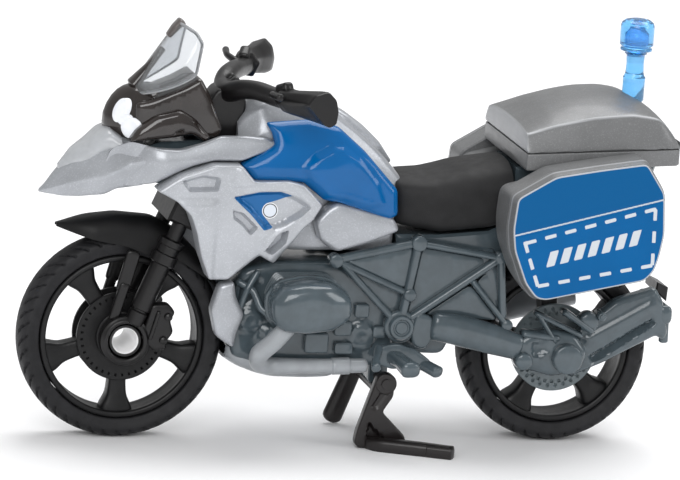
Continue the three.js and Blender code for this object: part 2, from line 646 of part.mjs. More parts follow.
const cockpitHalfWidth = 3.7;
add("headlight_housing", slab(body([[26.4, 33.1], [26, 35.2], [24.4, 36.9], [20.8, 36.6], [20.6, 33], [24.8, 33.3]]),
  -cockpitHalfWidth, cockpitHalfWidth, 0.3), smokePlastic());
add("headlight_lens", slab(body([[27.2, 33.3], [26.7, 35.4], [25.1, 37.1], [24.6, 37.1], [26.2, 35.3], [26.6, 33.1]]),
  -cockpitHalfWidth + 0.4, cockpitHalfWidth - 0.4, 0.1), whiteLens());
add("cockpit", slab(body([[20.4, 33], [20.6, 36.7], [18.9, 38], [17.2, 37.6], [16.8, 34], [17.2, 33.1]]),
  -cockpitHalfWidth, cockpitHalfWidth, 0.3), smokePlastic());

// Windscreen: half of an elliptic shell, leaned back and trimmed to its side outline.
function windscreen() {
  const wall = 0.45;
  const depth = 7;
  const half = cockpitHalfWidth + 0.8;
  const nose = [24.4, 37.3];
  const lean = 0.75;
  const arcPoints = (a, b) => Array.from({ length: 15 }, (_, i) => {
    const angle = -Math.PI / 2 + (Math.PI * i) / 14;
    return [a * Math.cos(angle) - depth, b * Math.sin(angle)];
  });
  const shell = plan([...arcPoints(depth, half), ...arcPoints(depth - wall, half - wall).reverse()], 0, 8);
  shell.applyMatrix4(new THREE.Matrix4().makeShear(0, 0, 0, 0, -lean, 0));
  shell.translate(...place(nose[0], 0, nose[1] - 0.2).toArray());
  const trim = slab(body([[25, 37.2], [22.2, 37.4], [17, 40], [16.9, 43.7], [18.2, 44.6], [19.6, 44.6]]),
    -half - 1, half + 1, 0);
  return common(shell, trim);
}
add("windscreen", windscreen(), clearPlastic());
add("screen_clip", slab(body([[19.7, 44.2], [19.4, 45.1], [17.7, 45.1], [17.7, 44.8], [18.9, 44.8]]), -1.1, 1.1, 0.1),
  smokePlastic());

// ---- Seat, tail and luggage ----
add("seat", slab(body([[-5.5, 29.2], [-10.5, 29.9], [-15.8, 30.8], [-17, 30.7], [-16.9, 25.2], [-14.9, 24],
  [-9.5, 23.4], [-4.9, 23.9]]), -seatHalfWidth, seatHalfWidth, 0.9), seatPlastic());
const pannierInner = trellisOuter + pannierClearance;
const pannierShelf = topCaseHalfWidth + 0.3;
add("tail_frame", slab(body([[-4.8, 23.1], [-4.9, 21.1], [-13, 21.1], [-27, 21.1], [-31.5, 26],
  [-33.2, 31.7], [-17.5, 30.6], [-17.3, 24.8], [-15, 23.6], [-9.5, 23.1]]),
-pannierInner + layerGap + 2, pannierInner - layerGap - 2, 0.3), greyPlastic());

const lidSeam = [[-17.15, 33], [-33.95, 34]];
add("top_case_base", slab(body([[-17.4, 31.1], lidSeam[0], lidSeam[1], [-34.1, 32.2]]),
  -topCaseHalfWidth, topCaseHalfWidth, 0.3), caseGrey());
const lightX = -31.1;
const lightFoot = 37.1;
function topCaseLid() {
  const shell = slab(body([[lidSeam[0][0], lidSeam[0][1] + partGap], [-17.6, 35.2], [-20.5, 37.1], [-25.6, 38.7],
    [-30, 38.4], [-32.3, 37], [lidSeam[1][0], lidSeam[1][1] + partGap]]), -topCaseHalfWidth, topCaseHalfWidth, 0.9);
  const socket = rod(place(lightX, 0, lightFoot - 0.2), place(lightX, 0, 40), lightStemRadius + 0.1);
  return cut(shell, socket);
}
add("top_case_lid", topCaseLid(), caseGrey());

const stemLength = 5.4;
const headHeight = 3.7;
const mastFoot = place(lightX, 0, lightFoot);
const mastTop = mastFoot.clone().setZ(mastFoot.z + stemLength);
add("light_mast", rod(mastFoot, mastTop, lightStemRadius, 20), clearBlue());
function beacon() {
  const profile = [[0, 0], [lightHeadRadius - 0.4, 0], [lightHeadRadius, 0.5], [lightHeadRadius, headHeight - 0.8],
    [lightHeadRadius - 0.5, headHeight - 0.2], [0, headHeight]];
  const geometry = new THREE.LatheGeometry(profile.map(([r, y]) => new THREE.Vector2(r, y)), 24);
  geometry.rotateX(Math.PI / 2);
  geometry.translate(mastTop.x, 0, mastTop.z + 0.05);
  return geometry;
}
add("beacon", beacon(), clearBlue());

function pannierOutline(inset) {
  return body([[-15 - inset, 29.4 - inset / 2], [-19, 31.8 - inset], [-29, 33.4 - inset],
    [-31.4 + inset, 30.2 - inset / 2], [-31.6 + inset, 25.6], [-30.6 + inset, 21.4 + inset / 2],
    [-29.6 + inset, 20.4 + inset], [-18.6, 18.1 + inset], [-17.4 - inset, 18.4 + inset],
    [-16.2 - inset, 20], [-14.8 - inset, 23.6]]);
}
const shelfHeight = 30.7;
for (const side of sides) {
  const joint = pannierShelf + pannierBodyDepth;
  const outer = sideSlab(pannierOutline(0.3), pannierShelf, joint, side.sign, 0.3);
  const inner = common(sideSlab(pannierOutline(0.6), pannierInner, pannierShelf + 0.6, side.sign, 0.2),
    plan([[-40 + rearShift, -20], [-10 + rearShift, -20], [-10 + rearShift, 20], [-40 + rearShift, 20]],
      10, shelfHeight + rearLift));
  add(`pannier_${side.name}`, join(outer, inner), caseGrey());
  add(`pannier_lid_${side.name}`, sideSlab(pannierOutline(0), joint + layerGap, joint + layerGap + pannierLidDepth,
    side.sign, 0.7), bluePaint());
}

// Origin: middle of the bounding box, on the ground.
motorcycle.updateMatrixWorld(true);
const box = new THREE.Box3().setFromObject(motorcycle, true);
const centre = box.getCenter(new THREE.Vector3());
motorcycle.position.set(-centre.x, -centre.y, -box.min.z);
motorcycle.userData.joints = { frontAxle, rearAxle, standPivot, rakeDegrees, steeringDegrees, standFoldedDegrees };

export default motorcycle;
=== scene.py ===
import json
import math
import bpy
import bmesh
import numpy as np
from mathutils import Matrix, Vector
from mathutils.geometry import delaunay_2d_cdt


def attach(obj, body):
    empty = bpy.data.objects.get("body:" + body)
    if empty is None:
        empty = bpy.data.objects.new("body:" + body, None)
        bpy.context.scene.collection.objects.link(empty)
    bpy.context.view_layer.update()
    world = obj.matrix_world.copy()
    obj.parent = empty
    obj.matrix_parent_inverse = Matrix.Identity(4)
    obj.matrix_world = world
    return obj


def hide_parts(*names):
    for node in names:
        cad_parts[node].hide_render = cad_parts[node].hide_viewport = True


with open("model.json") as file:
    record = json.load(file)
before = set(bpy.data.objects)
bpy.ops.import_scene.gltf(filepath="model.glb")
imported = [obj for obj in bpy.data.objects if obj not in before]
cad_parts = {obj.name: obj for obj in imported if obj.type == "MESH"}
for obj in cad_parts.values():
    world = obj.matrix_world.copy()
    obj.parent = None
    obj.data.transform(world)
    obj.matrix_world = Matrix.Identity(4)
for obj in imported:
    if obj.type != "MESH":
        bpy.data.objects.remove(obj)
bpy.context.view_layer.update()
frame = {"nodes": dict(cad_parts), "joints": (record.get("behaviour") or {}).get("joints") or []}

mm = 0.001
joints = {joint["name"]: joint for joint in frame["joints"]}
frontHub = np.array(joints["front_wheel_spin"]["pos_m"]) / mm
rearHub = np.array(joints["rear_wheel_spin"]["pos_m"]) / mm
midX = (frontHub[0] + rearHub[0]) / 2  # outlines are drawn with X = 0 midway between the wheels
frontHub[0] -= midX
rearHub[0] -= midX
steerAxis = np.array(joints["steering_turn"]["axis"])
steerAcross = np.array([steerAxis[2], 0, -steerAxis[0]])
sides = {"left": 1, "right": -1}


# ---- camera, light and floor ----
cameraSettings = dict(turn=14.06, height=11.87, roll=3.68, distance=702.7, target=(0.226, 0, 21.477),
                      lens=348.35, clip=(0.01, 10))


def makeCamera(s):
    turn, height, roll = (math.radians(s[k]) for k in ("turn", "height", "roll"))
    back = Vector((math.sin(turn) * math.cos(height), math.cos(turn) * math.cos(height), math.sin(height)))
    level = (-back).cross(Vector((0, 0, 1))).normalized()
    rise = level.cross(-back)
    right = math.cos(roll) * level + math.sin(roll) * rise
    up = math.cos(roll) * rise - math.sin(roll) * level
    target = Vector(s["target"]) + Vector((midX, 0, 0))
    data = bpy.data.cameras.new("camera")
    data.lens = s["lens"]
    data.clip_start, data.clip_end = s["clip"]
    camera = bpy.data.objects.new("camera", data)
    bpy.context.scene.collection.objects.link(camera)
    place = Matrix((right, up, back)).transposed().to_4x4()
    place.translation = (target + back * s["distance"]) * mm
    camera.matrix_world = place
    bpy.context.scene.camera = camera


lamps = dict(
    overhead=dict(place=(-0.10, -0.12, 0.42), size=(0.40, 0.34), power=1.65),
    front=dict(place=(0.16, 0.48, 0.30), size=(0.36, 0.28), power=1.5),
    tail=dict(place=(-0.40, 0.22, 0.20), size=(0.16, 0.22), power=0.4),
)
stageLook = dict(floor=(0.98, 0.98, 0.99), floorHalf=3, floorRoughness=0.9, sky=(1.0, 1.0, 1.0),
                 skyStrength=0.47, lampsAim=(0, 0, 0.02))


def makeStage():
    for name, lamp in lamps.items():
        data = bpy.data.lights.new(name, "AREA")
        data.shape = "RECTANGLE"
        data.size, data.size_y = lamp["size"]
        data.energy = lamp["power"]
        light = bpy.data.objects.new(name, data)
        light.location = lamp["place"]
        aim = Vector(stageLook["lampsAim"]) - Vector(lamp["place"])
        light.rotation_euler = aim.to_track_quat("-Z", "Y").to_euler()
        bpy.context.scene.collection.objects.link(light)
    world = bpy.data.worlds.new("studio")
    world.use_nodes = True
    sky = world.node_tree.nodes["Background"]
    sky.inputs[0].default_value = (*stageLook["sky"], 1)
    sky.inputs[1].default_value = stageLook["skyStrength"]
    bpy.context.scene.world = world
    mesh = bpy.data.meshes.new("floor")
    h = stageLook["floorHalf"]
    mesh.from_pydata([(-h, -h, 0), (h, -h, 0), (h, h, 0), (-h, h, 0)], [], [(0, 1, 2, 3)])
    floor = bpy.data.objects.new("floor", mesh)
    bpy.context.scene.collection.objects.link(floor)
    paper = bpy.data.materials.new("paper")
    paper.use_nodes = True
    shader = paper.node_tree.nodes["Principled BSDF"]
    shader.inputs["Base Color"].default_value = (*stageLook["floor"], 1)
    shader.inputs["Roughness"].default_value = stageLook["floorRoughness"]
    mesh.materials.append(paper)
    bpy.context.scene.view_settings.view_transform = "Standard"


makeCamera(cameraSettings)
makeStage()
print("stage ready")


# ---- materials ----
surface = dict(noiseRange=(0.3, 0.7), fleckRange=(0.62, 0.95), coatRoughness=0.06, bumpDepth=0.02)


def linear(rgb):
    c = np.array(rgb) / 255
    return (*np.where(c < 0.04045, c / 12.92, ((c + 0.055) / 1.055) ** 2.4), 1.0)


def finish(name, rgb, roughness, metallic=0.0, coat=0.0, mottle=0.08, mottleSize=2.0, fleck=0.0,
           fleckSize=0.12, grain=0.0, grainSize=0.15, transmission=0.0, ior=1.46, printsAndPaintedLight=(), roughSpread=0.05,
           specular=0.5):
    # Colour is the base times a soft noise, with metal flecks on top; each print or painted light is an
    # attribute in millimetres, below zero inside its shape, and lays its own colour over the base.
    material = bpy.data.materials.new(name)
    material.use_nodes = True
    nodes, links = material.node_tree.nodes, material.node_tree.links
    shader = nodes["Principled BSDF"]
    coords = nodes.new("ShaderNodeTexCoord").outputs["Object"]

    def noise(size, detail=3):
        node = nodes.new("ShaderNodeTexNoise")
        links.new(coords, node.inputs["Vector"])
        node.inputs["Scale"].default_value = 1 / (size * mm)
        node.inputs["Detail"].default_value = detail
        return node.outputs["Fac"]

    def ranged(value, low, high, a, b):
        node = nodes.new("ShaderNodeMapRange")
        node.interpolation_type = "SMOOTHSTEP"
        links.new(value, node.inputs["Value"])
        for key, number in zip(("From Min", "From Max", "To Min", "To Max"), (low, high, a, b)):
            node.inputs[key].default_value = number
        return node.outputs["Result"]

    def mixed(fac, a, b):
        node = nodes.new("ShaderNodeMix")
        node.data_type = "RGBA"
        for key, value in (("Factor", fac), ("A", a), ("B", b)):
            socket = next(s for s in node.inputs if s.name == key and s.enabled)
            if hasattr(value, "links"):
                links.new(value, socket)
            else:
                socket.default_value = value
        return next(s for s in node.outputs if s.enabled)

    base = np.array(linear(rgb)[:3])
    tone = ranged(noise(mottleSize), *surface["noiseRange"], 0, 1)
    colour = mixed(tone, (*(base * (1 - mottle)), 1), (*np.minimum(base * (1 + mottle), 1), 1))
    if fleck:
        cells = nodes.new("ShaderNodeTexVoronoi")
        links.new(coords, cells.inputs["Vector"])
        cells.inputs["Scale"].default_value = 1 / (fleckSize * mm)
        spark = ranged(cells.outputs["Color"], *surface["fleckRange"], 0, fleck)
        colour = mixed(spark, colour, (*np.minimum(base * 1.5 + 0.1, 1), 1))
    for attribute, overlayColour, width in printsAndPaintedLight:
        edge = nodes.new("ShaderNodeAttribute")
        edge.attribute_name = attribute
        colour = mixed(ranged(edge.outputs["Fac"], -width, width, 1, 0), colour, linear(overlayColour))
    links.new(colour, shader.inputs["Base Color"])
    links.new(ranged(noise(mottleSize * 0.6), *surface["noiseRange"], roughness - roughSpread * roughness,
                     roughness + roughSpread * roughness + 0.02), shader.inputs["Roughness"])
    shader.inputs["Metallic"].default_value = metallic
    shader.inputs["Coat Weight"].default_value = coat
    shader.inputs["Coat Roughness"].default_value = surface["coatRoughness"]
    shader.inputs["Specular IOR Level"].default_value = specular
    shader.inputs["Transmission Weight"].default_value = transmission
    shader.inputs["IOR"].default_value = ior
    if grain:
        bump = nodes.new("ShaderNodeBump")
        bump.inputs["Strength"].default_value = grain
        bump.inputs["Distance"].default_value = surface["bumpDepth"] * mm
        links.new(noise(grainSize, 2), bump.inputs["Height"])
        links.new(bump.outputs["Normal"], shader.inputs["Normal"])
    return material


printBlue = (0, 92, 152)
looks = dict(
    silver=finish("silver_paint", (164, 167, 172), 0.32, 0.4, 0.3, 0.05, 3.0, 0.3, 0.10, 0.25, 0.10),
    shroud=finish("silver_paint_printed", (172, 175, 180), 0.34, 0.35, 0.3, 0.05, 3.0, 0.3, 0.10, 0.25, 0.10,
                  printsAndPaintedLight=[("patch", printBlue, 0.03), ("ringOuter", (238, 240, 242), 0.03),
                          ("ringDark", (24, 27, 32), 0.03), ("ringInner", (214, 220, 228), 0.03)]),
    blue=finish("blue_gloss", (0, 90, 152), 0.12, 0.0, 0.12, 0.06, 4.0, specular=0.35, grain=0.08,
                grainSize=0.5),
    grey=finish("engine_grey", (72, 83, 89), 0.18, 0.05, 0.4, 0.10, 1.6, grain=0.35, grainSize=0.35),
    hub=finish("hub_grey", (104, 114, 118), 0.3, 0.05, 0.2, 0.08, 1.2, grain=0.3, grainSize=0.25),
    chrome=finish("moulded_silver", (152, 156, 160), 0.34, 0.12, 0.15, 0.06, 1.5, grain=0.12, grainSize=0.6),
    black=finish("black_moulding", (15, 14, 15), 0.34, 0.0, 0.1, 0.15, 1.0, grain=0.35, grainSize=0.2,
                 specular=0.4),
    matt=finish("black_matt", (13, 13, 14), 0.46, 0.0, 0.0, 0.15, 1.5, grain=0.5, grainSize=0.12,
                specular=0.3),
    tyre=finish("tyre_rubber", (32, 32, 34), 0.56, 0.0, 0.0, 0.18, 1.2, grain=0.8, grainSize=0.12,
                specular=0.3),
    rim=finish("wheel_black", (19, 19, 20), 0.4, 0.0, 0.0, 0.2, 1.0, grain=0.6, grainSize=0.16,
               specular=0.35),
    stand=finish("stand_black", (26, 22, 22), 0.34, 0.0, 0.1, 0.12, 1.5, grain=0.3, grainSize=0.25),
    smoke=finish("smoke_plastic", (40, 35, 33), 0.1, 0.0, 0.5, 0.25, 2.5, grain=0.12, grainSize=0.8),
    clip=finish("smoke_grey", (92, 86, 84), 0.14, 0.0, 0.4, 0.15, 1.0, grain=0.12, grainSize=0.5),
    clear=finish("clear_plastic", (226, 229, 232), 0.05, 0.0, 0.0, 0.02, 3.0, transmission=0.9, ior=1.42),
    rimClear=finish("clear_edge", (178, 180, 183), 0.12, 0.0, 0.3, 0.06, 1.0, transmission=0.35, ior=1.42),
    frost=finish("frosted_clear", (206, 209, 213), 0.16, 0.0, 0.4, 0.05, 1.0, transmission=0.35, grain=0.2,
                 grainSize=0.4),
    # the white print inside the bore is painted light: it stands for the light seen through and reflected in
    # the hollow axle
    axle=finish("axle_black", (22, 22, 23), 0.35, 0.0, 0.1, 0.1, 0.5, grain=0.3, grainSize=0.15,
                printsAndPaintedLight=[("bore", (250, 250, 250), 0.02)]),
    white=finish("lens_white", (240, 243, 248), 0.14, 0.0, 0.6, 0.03, 0.8, grain=0.3, grainSize=0.3),
    seat=finish("seat_black", (33, 33, 34), 0.6, 0.0, 0.0, 0.12, 1.8, grain=1.0, grainSize=0.09,
                specular=0.3),
    # the light grey band laid over the cases is a painted highlight along their creases and edges
    case=finish("case_grey", (112, 113, 114), 0.4, 0.25, 0.1, 0.05, 2.5, 0.3, 0.09, 0.3, 0.09,
                printsAndPaintedLight=[("wornEdge", (165, 167, 170), 0.14)]),
    lid=finish("pannier_blue", (0, 88, 146), 0.3, 0.0, 0.05, 0.04, 4.0, specular=0.12, grain=0.08,
               grainSize=0.5, printsAndPaintedLight=[("upperBand", (0, 84, 138), 0.03), ("marking", (196, 202, 208), 0.03),
                       ("outside", (112, 113, 114), 0.03), ("rimLine", (176, 180, 185), 0.04)]),
    beacon=finish("beacon_blue", (120, 196, 250), 0.05, 0.0, 0.3, 0.05, 0.8, transmission=0.85, ior=1.4),
    steel=finish("axle_steel", (150, 153, 156), 0.3, 0.9, 0.0, 0.08, 0.6, grain=0.3, grainSize=0.12),
)


# ---- surfaces ----
def rounded(points, count, passes=0, closed=True):
    # Even spacing along the outline, then repeated 1-2-1 averaging, which rounds the corners.
    p = np.asarray(points, float)
    q = np.vstack([p, p[:1]]) if closed else p
    run = np.r_[0, np.cumsum(np.linalg.norm(np.diff(q, axis=0), axis=1))]
    at = np.linspace(0, run[-1], count + 1)[:-1] if closed else np.linspace(0, run[-1], count)
    r = np.stack([np.interp(at, run, q[:, k]) for k in range(q.shape[1])], 1)
    for _ in range(passes):
        if closed:
            r = (np.roll(r, 1, 0) + 2 * r + np.roll(r, -1, 0)) / 4
        else:
            r[1:-1] = (r[:-2] + 2 * r[1:-1] + r[2:]) / 4
    return r


def distanceTo(outline, points):
    # Signed distance in the plane: least distance to any side, negative inside by the crossing rule.
    a = np.asarray(outline, float)
    b = np.roll(a, -1, 0)
    best = np.full(len(points), 1e9)
    inside = np.zeros(len(points), bool)
    for (ax, ay), (bx, by) in zip(a, b):
        ex, ey = bx - ax, by - ay
        px, py = points[:, 0] - ax, points[:, 1] - ay
        t = np.clip((px * ex + py * ey) / max(ex * ex + ey * ey, 1e-12), 0, 1)
        best = np.minimum(best, np.hypot(px - t * ex, py - t * ey))
        if ay != by:
            crosses = ((ay > points[:, 1]) != (by > points[:, 1])) & (
                px < (points[:, 1] - ay) * ex / ey)
            inside ^= crosses
    return np.where(inside, -best, best)


def smooth(value, low, high):
    t = np.clip((value - low) / (high - low), 0, 1)
    return t * t * (3 - 2 * t)


def grid(rows, wrapRows=False):
    # A shell on a grid: columns go round, rows run along; rows that shrink to a point close the ends.
    rows = np.asarray(rows, float)
    n, m = rows.shape[:2]
    i, j = np.meshgrid(np.arange(n if wrapRows else n - 1), np.arange(m), indexing="ij")
    k, l = (i + 1) % n, (j + 1) % m
    faces = np.stack([i * m + j, i * m + l, k * m + l, k * m + j], -1).reshape(-1, 4)
    return rows.reshape(-1, 3), faces


def capped(rows):
    # Adds the middle of the first and last rows as points, so both ends close.
    rows = np.asarray(rows, float)
    ends = [np.repeat(rows[k].mean(0)[None], rows.shape[1], 0) for k in (0, -1)]
    return np.concatenate([ends[0][None], rows, ends[1][None]])


def oval(columns, power=2.0):
    # Superellipse |x|^p + |y|^p = 1 as unit points.
    t = np.linspace(0, 2 * np.pi, columns, endpoint=False)
    c, s = np.cos(t), np.sin(t)
    return np.stack([np.sign(c) * np.abs(c) ** (2 / power), np.sign(s) * np.abs(s) ** (2 / power)], 1)


def turned(profile, centre=(0, 0, 0), axis=(0, 1, 0), columns=48, ring=False, wave=None):
    # Profile (radius, height) carried round an axis.
    profile = np.asarray(profile, float)
    axis = np.array(axis, float) / np.linalg.norm(axis)
    side = np.cross(axis, (0, 0, 1) if abs(axis[2]) < 0.9 else (1, 0, 0))
    side /= np.linalg.norm(side)
    other = np.cross(axis, side)
    t = np.linspace(0, 2 * np.pi, columns, endpoint=False)
    around = np.cos(t)[:, None] * side + np.sin(t)[:, None] * other
    radius = np.repeat(profile[:, :1], columns, 1)
    height = np.repeat(profile[:, 1:2], columns, 1)
    if wave is not None:
        radius, height = wave(t[None], radius, height)
    rows = np.array(centre, float) + radius[..., None] * around[None] + height[..., None] * axis
    return grid(rows, ring)


def disc(x, z, radius, low, high, edge=0.15, columns=32, dome=0.0):
    # Round boss across the bike with a quarter-round edge on both faces.
    e = min(edge, radius / 2, abs(high - low) / 2)
    a = np.linspace(0, np.pi / 2, 5)
    top = [(radius - e + e * np.cos(k), high - e + e * np.sin(k)) for k in a]
    bottom = [(radius - e + e * np.cos(k), low + e - e * np.sin(k)) for k in a[::-1]]
    return turned([(0, low)] + bottom + top + [(0.5 * radius, high + 0.75 * dome), (0, high + dome)],
                  (x, 0, z), (0, 1, 0), columns)


def rod(path, radius, flat=1.0, power=2.0, count=24, columns=20, ends=0.5, up=(0, 0, 1), soft=2):
    # A section carried along a smoothed path; it shrinks over a quarter round at both ends.
    path = rounded(path, count, soft, closed=False)
    size = np.interp(np.linspace(0, 1, count), np.linspace(0, 1, np.size(radius)), np.atleast_1d(radius))
    tangent = np.gradient(path, axis=0)
    tangent /= np.linalg.norm(tangent, axis=1)[:, None]
    side = np.cross(tangent, np.array(up, float))
    side /= np.linalg.norm(side, axis=1)[:, None]
    rise = np.cross(side, tangent)
    a = np.linspace(0, np.pi / 2, 5)
    first = [(0, -ends * size[0] * math.sin(k), math.cos(k)) for k in a[::-1]]
    last = [(count - 1, ends * size[-1] * math.sin(k), math.cos(k)) for k in a]
    stops = first + [(k, 0, 1) for k in range(1, count - 1)] + last
    index = np.array([s[0] for s in stops], int)
    shift = np.array([s[1] for s in stops])
    scale = np.maximum(np.array([s[2] for s in stops]), 1e-6) * size[index]
    section = oval(columns, power)
    centre = path[index] + tangent[index] * shift[:, None]
    rows = centre[:, None] + scale[:, None, None] * (
        section[None, :, :1] * side[index][:, None] * flat + section[None, :, 1:] * rise[index][:, None])
    return grid(capped(rows))


def strut(a, b, width, low, high, power=3.5, grow=0.0):
    # Straight rounded bar between two points of the side view, filling the depth low..high.
    a, b = np.array(a, float), np.array(b, float)
    along = (b - a) / np.linalg.norm(b - a)
    across = np.array([-along[1], along[0]])
    s = np.linspace(-1, 1, 22)
    s = np.sign(s) * (1 - (1 - np.abs(s)) ** 1.8)
    shrink = np.maximum(1 - np.abs(s) ** 12, 1e-6) ** (1 / 6)
    middle, half = (a + b) / 2, np.linalg.norm(b - a) / 2 + grow
    section = oval(20, power)
    flat = middle + s[:, None] * along * half
    offset = section[None, :, 0] * (width / 2) * shrink[:, None]
    depth = (low + high) / 2 + section[None, :, 1] * (high - low) / 2 * shrink[:, None]
    rows = np.stack([flat[:, None, 0] + offset * across[0], depth, flat[:, None, 1] + offset * across[1]], -1)
    return grid(capped(rows))


def lofted(stations, section):
    # Section scaled and placed at each station (x, half width, low z, high z), rows along X.
    rows = [np.stack([np.full(len(section), x), section[:, 0] * half,
                      (low + high) / 2 + section[:, 1] * (high - low) / 2], 1)
            for x, half, low, high in stations]
    return grid(capped(rows))


def curve(points, at):
    # Height of a polyline given as (x, value), rounded by a moving average.
    p = np.array(sorted(points), float)
    fine = np.linspace(p[0, 0], p[-1, 0], 200)
    value = np.interp(fine, p[:, 0], p[:, 1])
    for _ in range(30):
        value[1:-1] = (value[:-2] + 2 * value[1:-1] + value[2:]) / 4
    return np.interp(at, fine, value)


def panel(outline, front, back, edge=0.35, backEdge=0.0, dome=0.0, soft=3, spacing=0.4, relief=None,
          creases=(), tilt=None):
    # Sheet y = front(x, z) over a rounded outline. The front is a quarter round of the given edge,
    # then a shallow dome that grows with the distance from the outline, plus the relief.
    sideLengths = np.linalg.norm(np.diff(np.vstack([outline, outline[:1]]), axis=0), axis=1)
    rim = rounded(outline, max(int(sideLengths.sum() / (spacing * 0.7)), 24), soft)
    nxt, prv = np.roll(rim, -1, 0), np.roll(rim, 1, 0)
    tangent = (nxt - prv) / np.maximum(np.linalg.norm(nxt - prv, axis=1)[:, None], 1e-9)
    area = np.sum(rim[:, 0] * nxt[:, 1] - nxt[:, 0] * rim[:, 1])
    inward = np.stack([-tangent[:, 1], tangent[:, 0]], 1) * np.sign(area)
    widest = max(edge, backEdge)
    angles = np.radians([25, 45, 66, 90])
    rings = [rim + inward * widest * (1 - math.cos(k)) for k in angles]
    low, high = rim.min(0), rim.max(0)
    xs, zs = np.meshgrid(np.arange(low[0], high[0], spacing), np.arange(low[1], high[1], spacing * 0.866))
    xs[1::2] += spacing / 2
    net = np.stack([xs.ravel(), zs.ravel()], 1)
    net = net[distanceTo(rim, net) < -widest - spacing * 0.45]
    lines = []
    for outlineOf, width in creases:
        loop = rounded(outlineOf, max(int(len(outlineOf) * 8), 48), 2)
        after = np.roll(loop, -1, 0)
        ahead = after - np.roll(loop, 1, 0)
        turn = np.sign(np.sum(loop[:, 0] * after[:, 1] - after[:, 0] * loop[:, 1]))
        normal = np.stack([-ahead[:, 1], ahead[:, 0]], 1) / np.linalg.norm(ahead, axis=1)[:, None] * turn
        lines += [loop, loop + normal * width]
    for line in lines:
        net = net[np.abs(distanceTo(line, net)) > spacing * 0.3]
    ringPoints = []
    for ringRow, k in zip(rings, angles):
        want = widest * (1 - math.cos(k))
        keep = np.abs(distanceTo(rim, ringRow) + want) < 0.12 * want
        ringPoints.append(ringRow[keep])
    linePoints = [line[distanceTo(rim, line) < -widest * 1.05] for line in lines]
    flat = np.vstack([rim, *ringPoints, *linePoints, net])
    n = len(rim)
    result = delaunay_2d_cdt([Vector(p) for p in flat], [], [list(range(n))], 1, 1e-5, True)
    points = np.array([tuple(v) for v in result[0]])
    triangles = np.array([f for f in result[2] if len(f) == 3])
    triangles = triangles[distanceTo(rim, points[triangles].mean(1)) < 0]
    depth = np.maximum(-distanceTo(rim, points), 0)
    quarter = lambda e: e * np.sqrt(np.maximum(1 - (1 - np.minimum(depth / e, 1)) ** 2,
                                               0)) if e else 0 * depth
    top = front - edge + quarter(edge) + dome * (1 - np.exp(-depth / 1.2))
    if tilt is not None:
        top = top + tilt(points[:, 0], points[:, 1])
    if relief is not None:
        top = top + relief(points)
    bottom = back + backEdge - quarter(backEdge) if np.isscalar(back) else back(points, depth)
    upper = np.stack([points[:, 0], top, points[:, 1]], 1)
    lower = np.stack([points[:, 0], bottom + 0 * top, points[:, 1]], 1)
    pairs = np.vstack([triangles[:, [0, 1]], triangles[:, [1, 2]], triangles[:, [2, 0]]])
    keys = np.sort(pairs, 1)
    _, first, counts = np.unique(keys, axis=0, return_index=True, return_counts=True)
    border = pairs[first[counts == 1]]
    m = len(points)
    walls = np.stack([border[:, 1], border[:, 0], border[:, 0] + m, border[:, 1] + m], 1)
    faces = [tuple(f) for f in triangles] + [tuple(f[::-1] + m)
                                             for f in triangles] + [tuple(f) for f in walls]
    return np.vstack([upper, lower]), faces


def pit(points, shape, depth, width):
    # Sunk area: full depth inside the shape, with a sloped wall of the given width.
    return -depth * smooth(-distanceTo(shape, points), 0, width)


def mirrored(shell, sign):
    return (shell[0] * np.array([1, sign, 1]), shell[1])


def piece(name, shells, look, body, replaced=(), sharp=38, paint=None):
    # Joins shells into one mesh in the frame's metres, closes poles and seams, turns faces outwards.
    vertices, faces, start = [], [], 0
    for points, quads in shells:
        vertices.append(points)
        faces += [tuple(int(k) + start for k in f) for f in quads]
        start += len(points)
    co = np.vstack(vertices) + np.array([midX, 0, 0])
    mesh = bpy.data.meshes.new(name)
    mesh.from_pydata(co * mm, [], faces)
    work = bmesh.new()
    work.from_mesh(mesh)
    bmesh.ops.remove_doubles(work, verts=work.verts, dist=2e-7)
    bmesh.ops.dissolve_degenerate(work, edges=work.edges, dist=1e-7)
    bmesh.ops.recalc_face_normals(work, faces=work.faces)
    work.to_mesh(mesh)
    work.free()
    mesh.polygons.foreach_set("use_smooth", np.ones(len(mesh.polygons), bool))
    mesh.set_sharp_from_angle(angle=math.radians(sharp))
    if paint:
        flat = np.zeros(len(mesh.vertices) * 3)
        mesh.vertices.foreach_get("co", flat)
        spots = flat.reshape(-1, 3) / mm - np.array([midX, 0, 0])
        for attribute, values in paint(spots).items():
            layer = mesh.attributes.new(attribute, "FLOAT", "POINT")
            layer.data.foreach_set("value", np.asarray(values, np.float32))
    mesh.materials.append(looks[look])
    made = bpy.data.objects.new(name, mesh)
    bpy.context.scene.collection.objects.link(made)
    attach(made, body)
    if replaced:
        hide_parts(*replaced)
    return made


# ---- wheels ----
wheels = dict(
    front=dict(hub=frontHub, radius=11.05, width=4.2, blocks=44, firstSpoke=-18, body="front_wheel",
               bore=1.82, disc=dict(inner=1.95, outer=4.8, low=-0.2, high=0.25, holes=36, rowsOf=(4.25,),
                                    holeRadius=0.1,
                         columns=432)),
    rear=dict(hub=rearHub, radius=10.34, width=5.4, blocks=40, firstSpoke=-62, body="rear_wheel", bore=1.28,
              disc=dict(inner=1.45, outer=4.8, low=-0.25, high=0.25, holes=30, rowsOf=(3.75, 4.2),
                        holeRadius=0.17, columns=480)),
)
tread = dict(depth=0.26, groove=0.16, slant=0.22, reach=0.42)
rimShape = dict(lipDepth=2.95, lipWall=0.75, spokes=5, discShare=0.7)
# boreLightRadius: inside it the bore is painted white, standing for light seen through the hole
axleTube = dict(inner=1.3, outer=1.76, half=3.75, boreLightRadius=1.42)


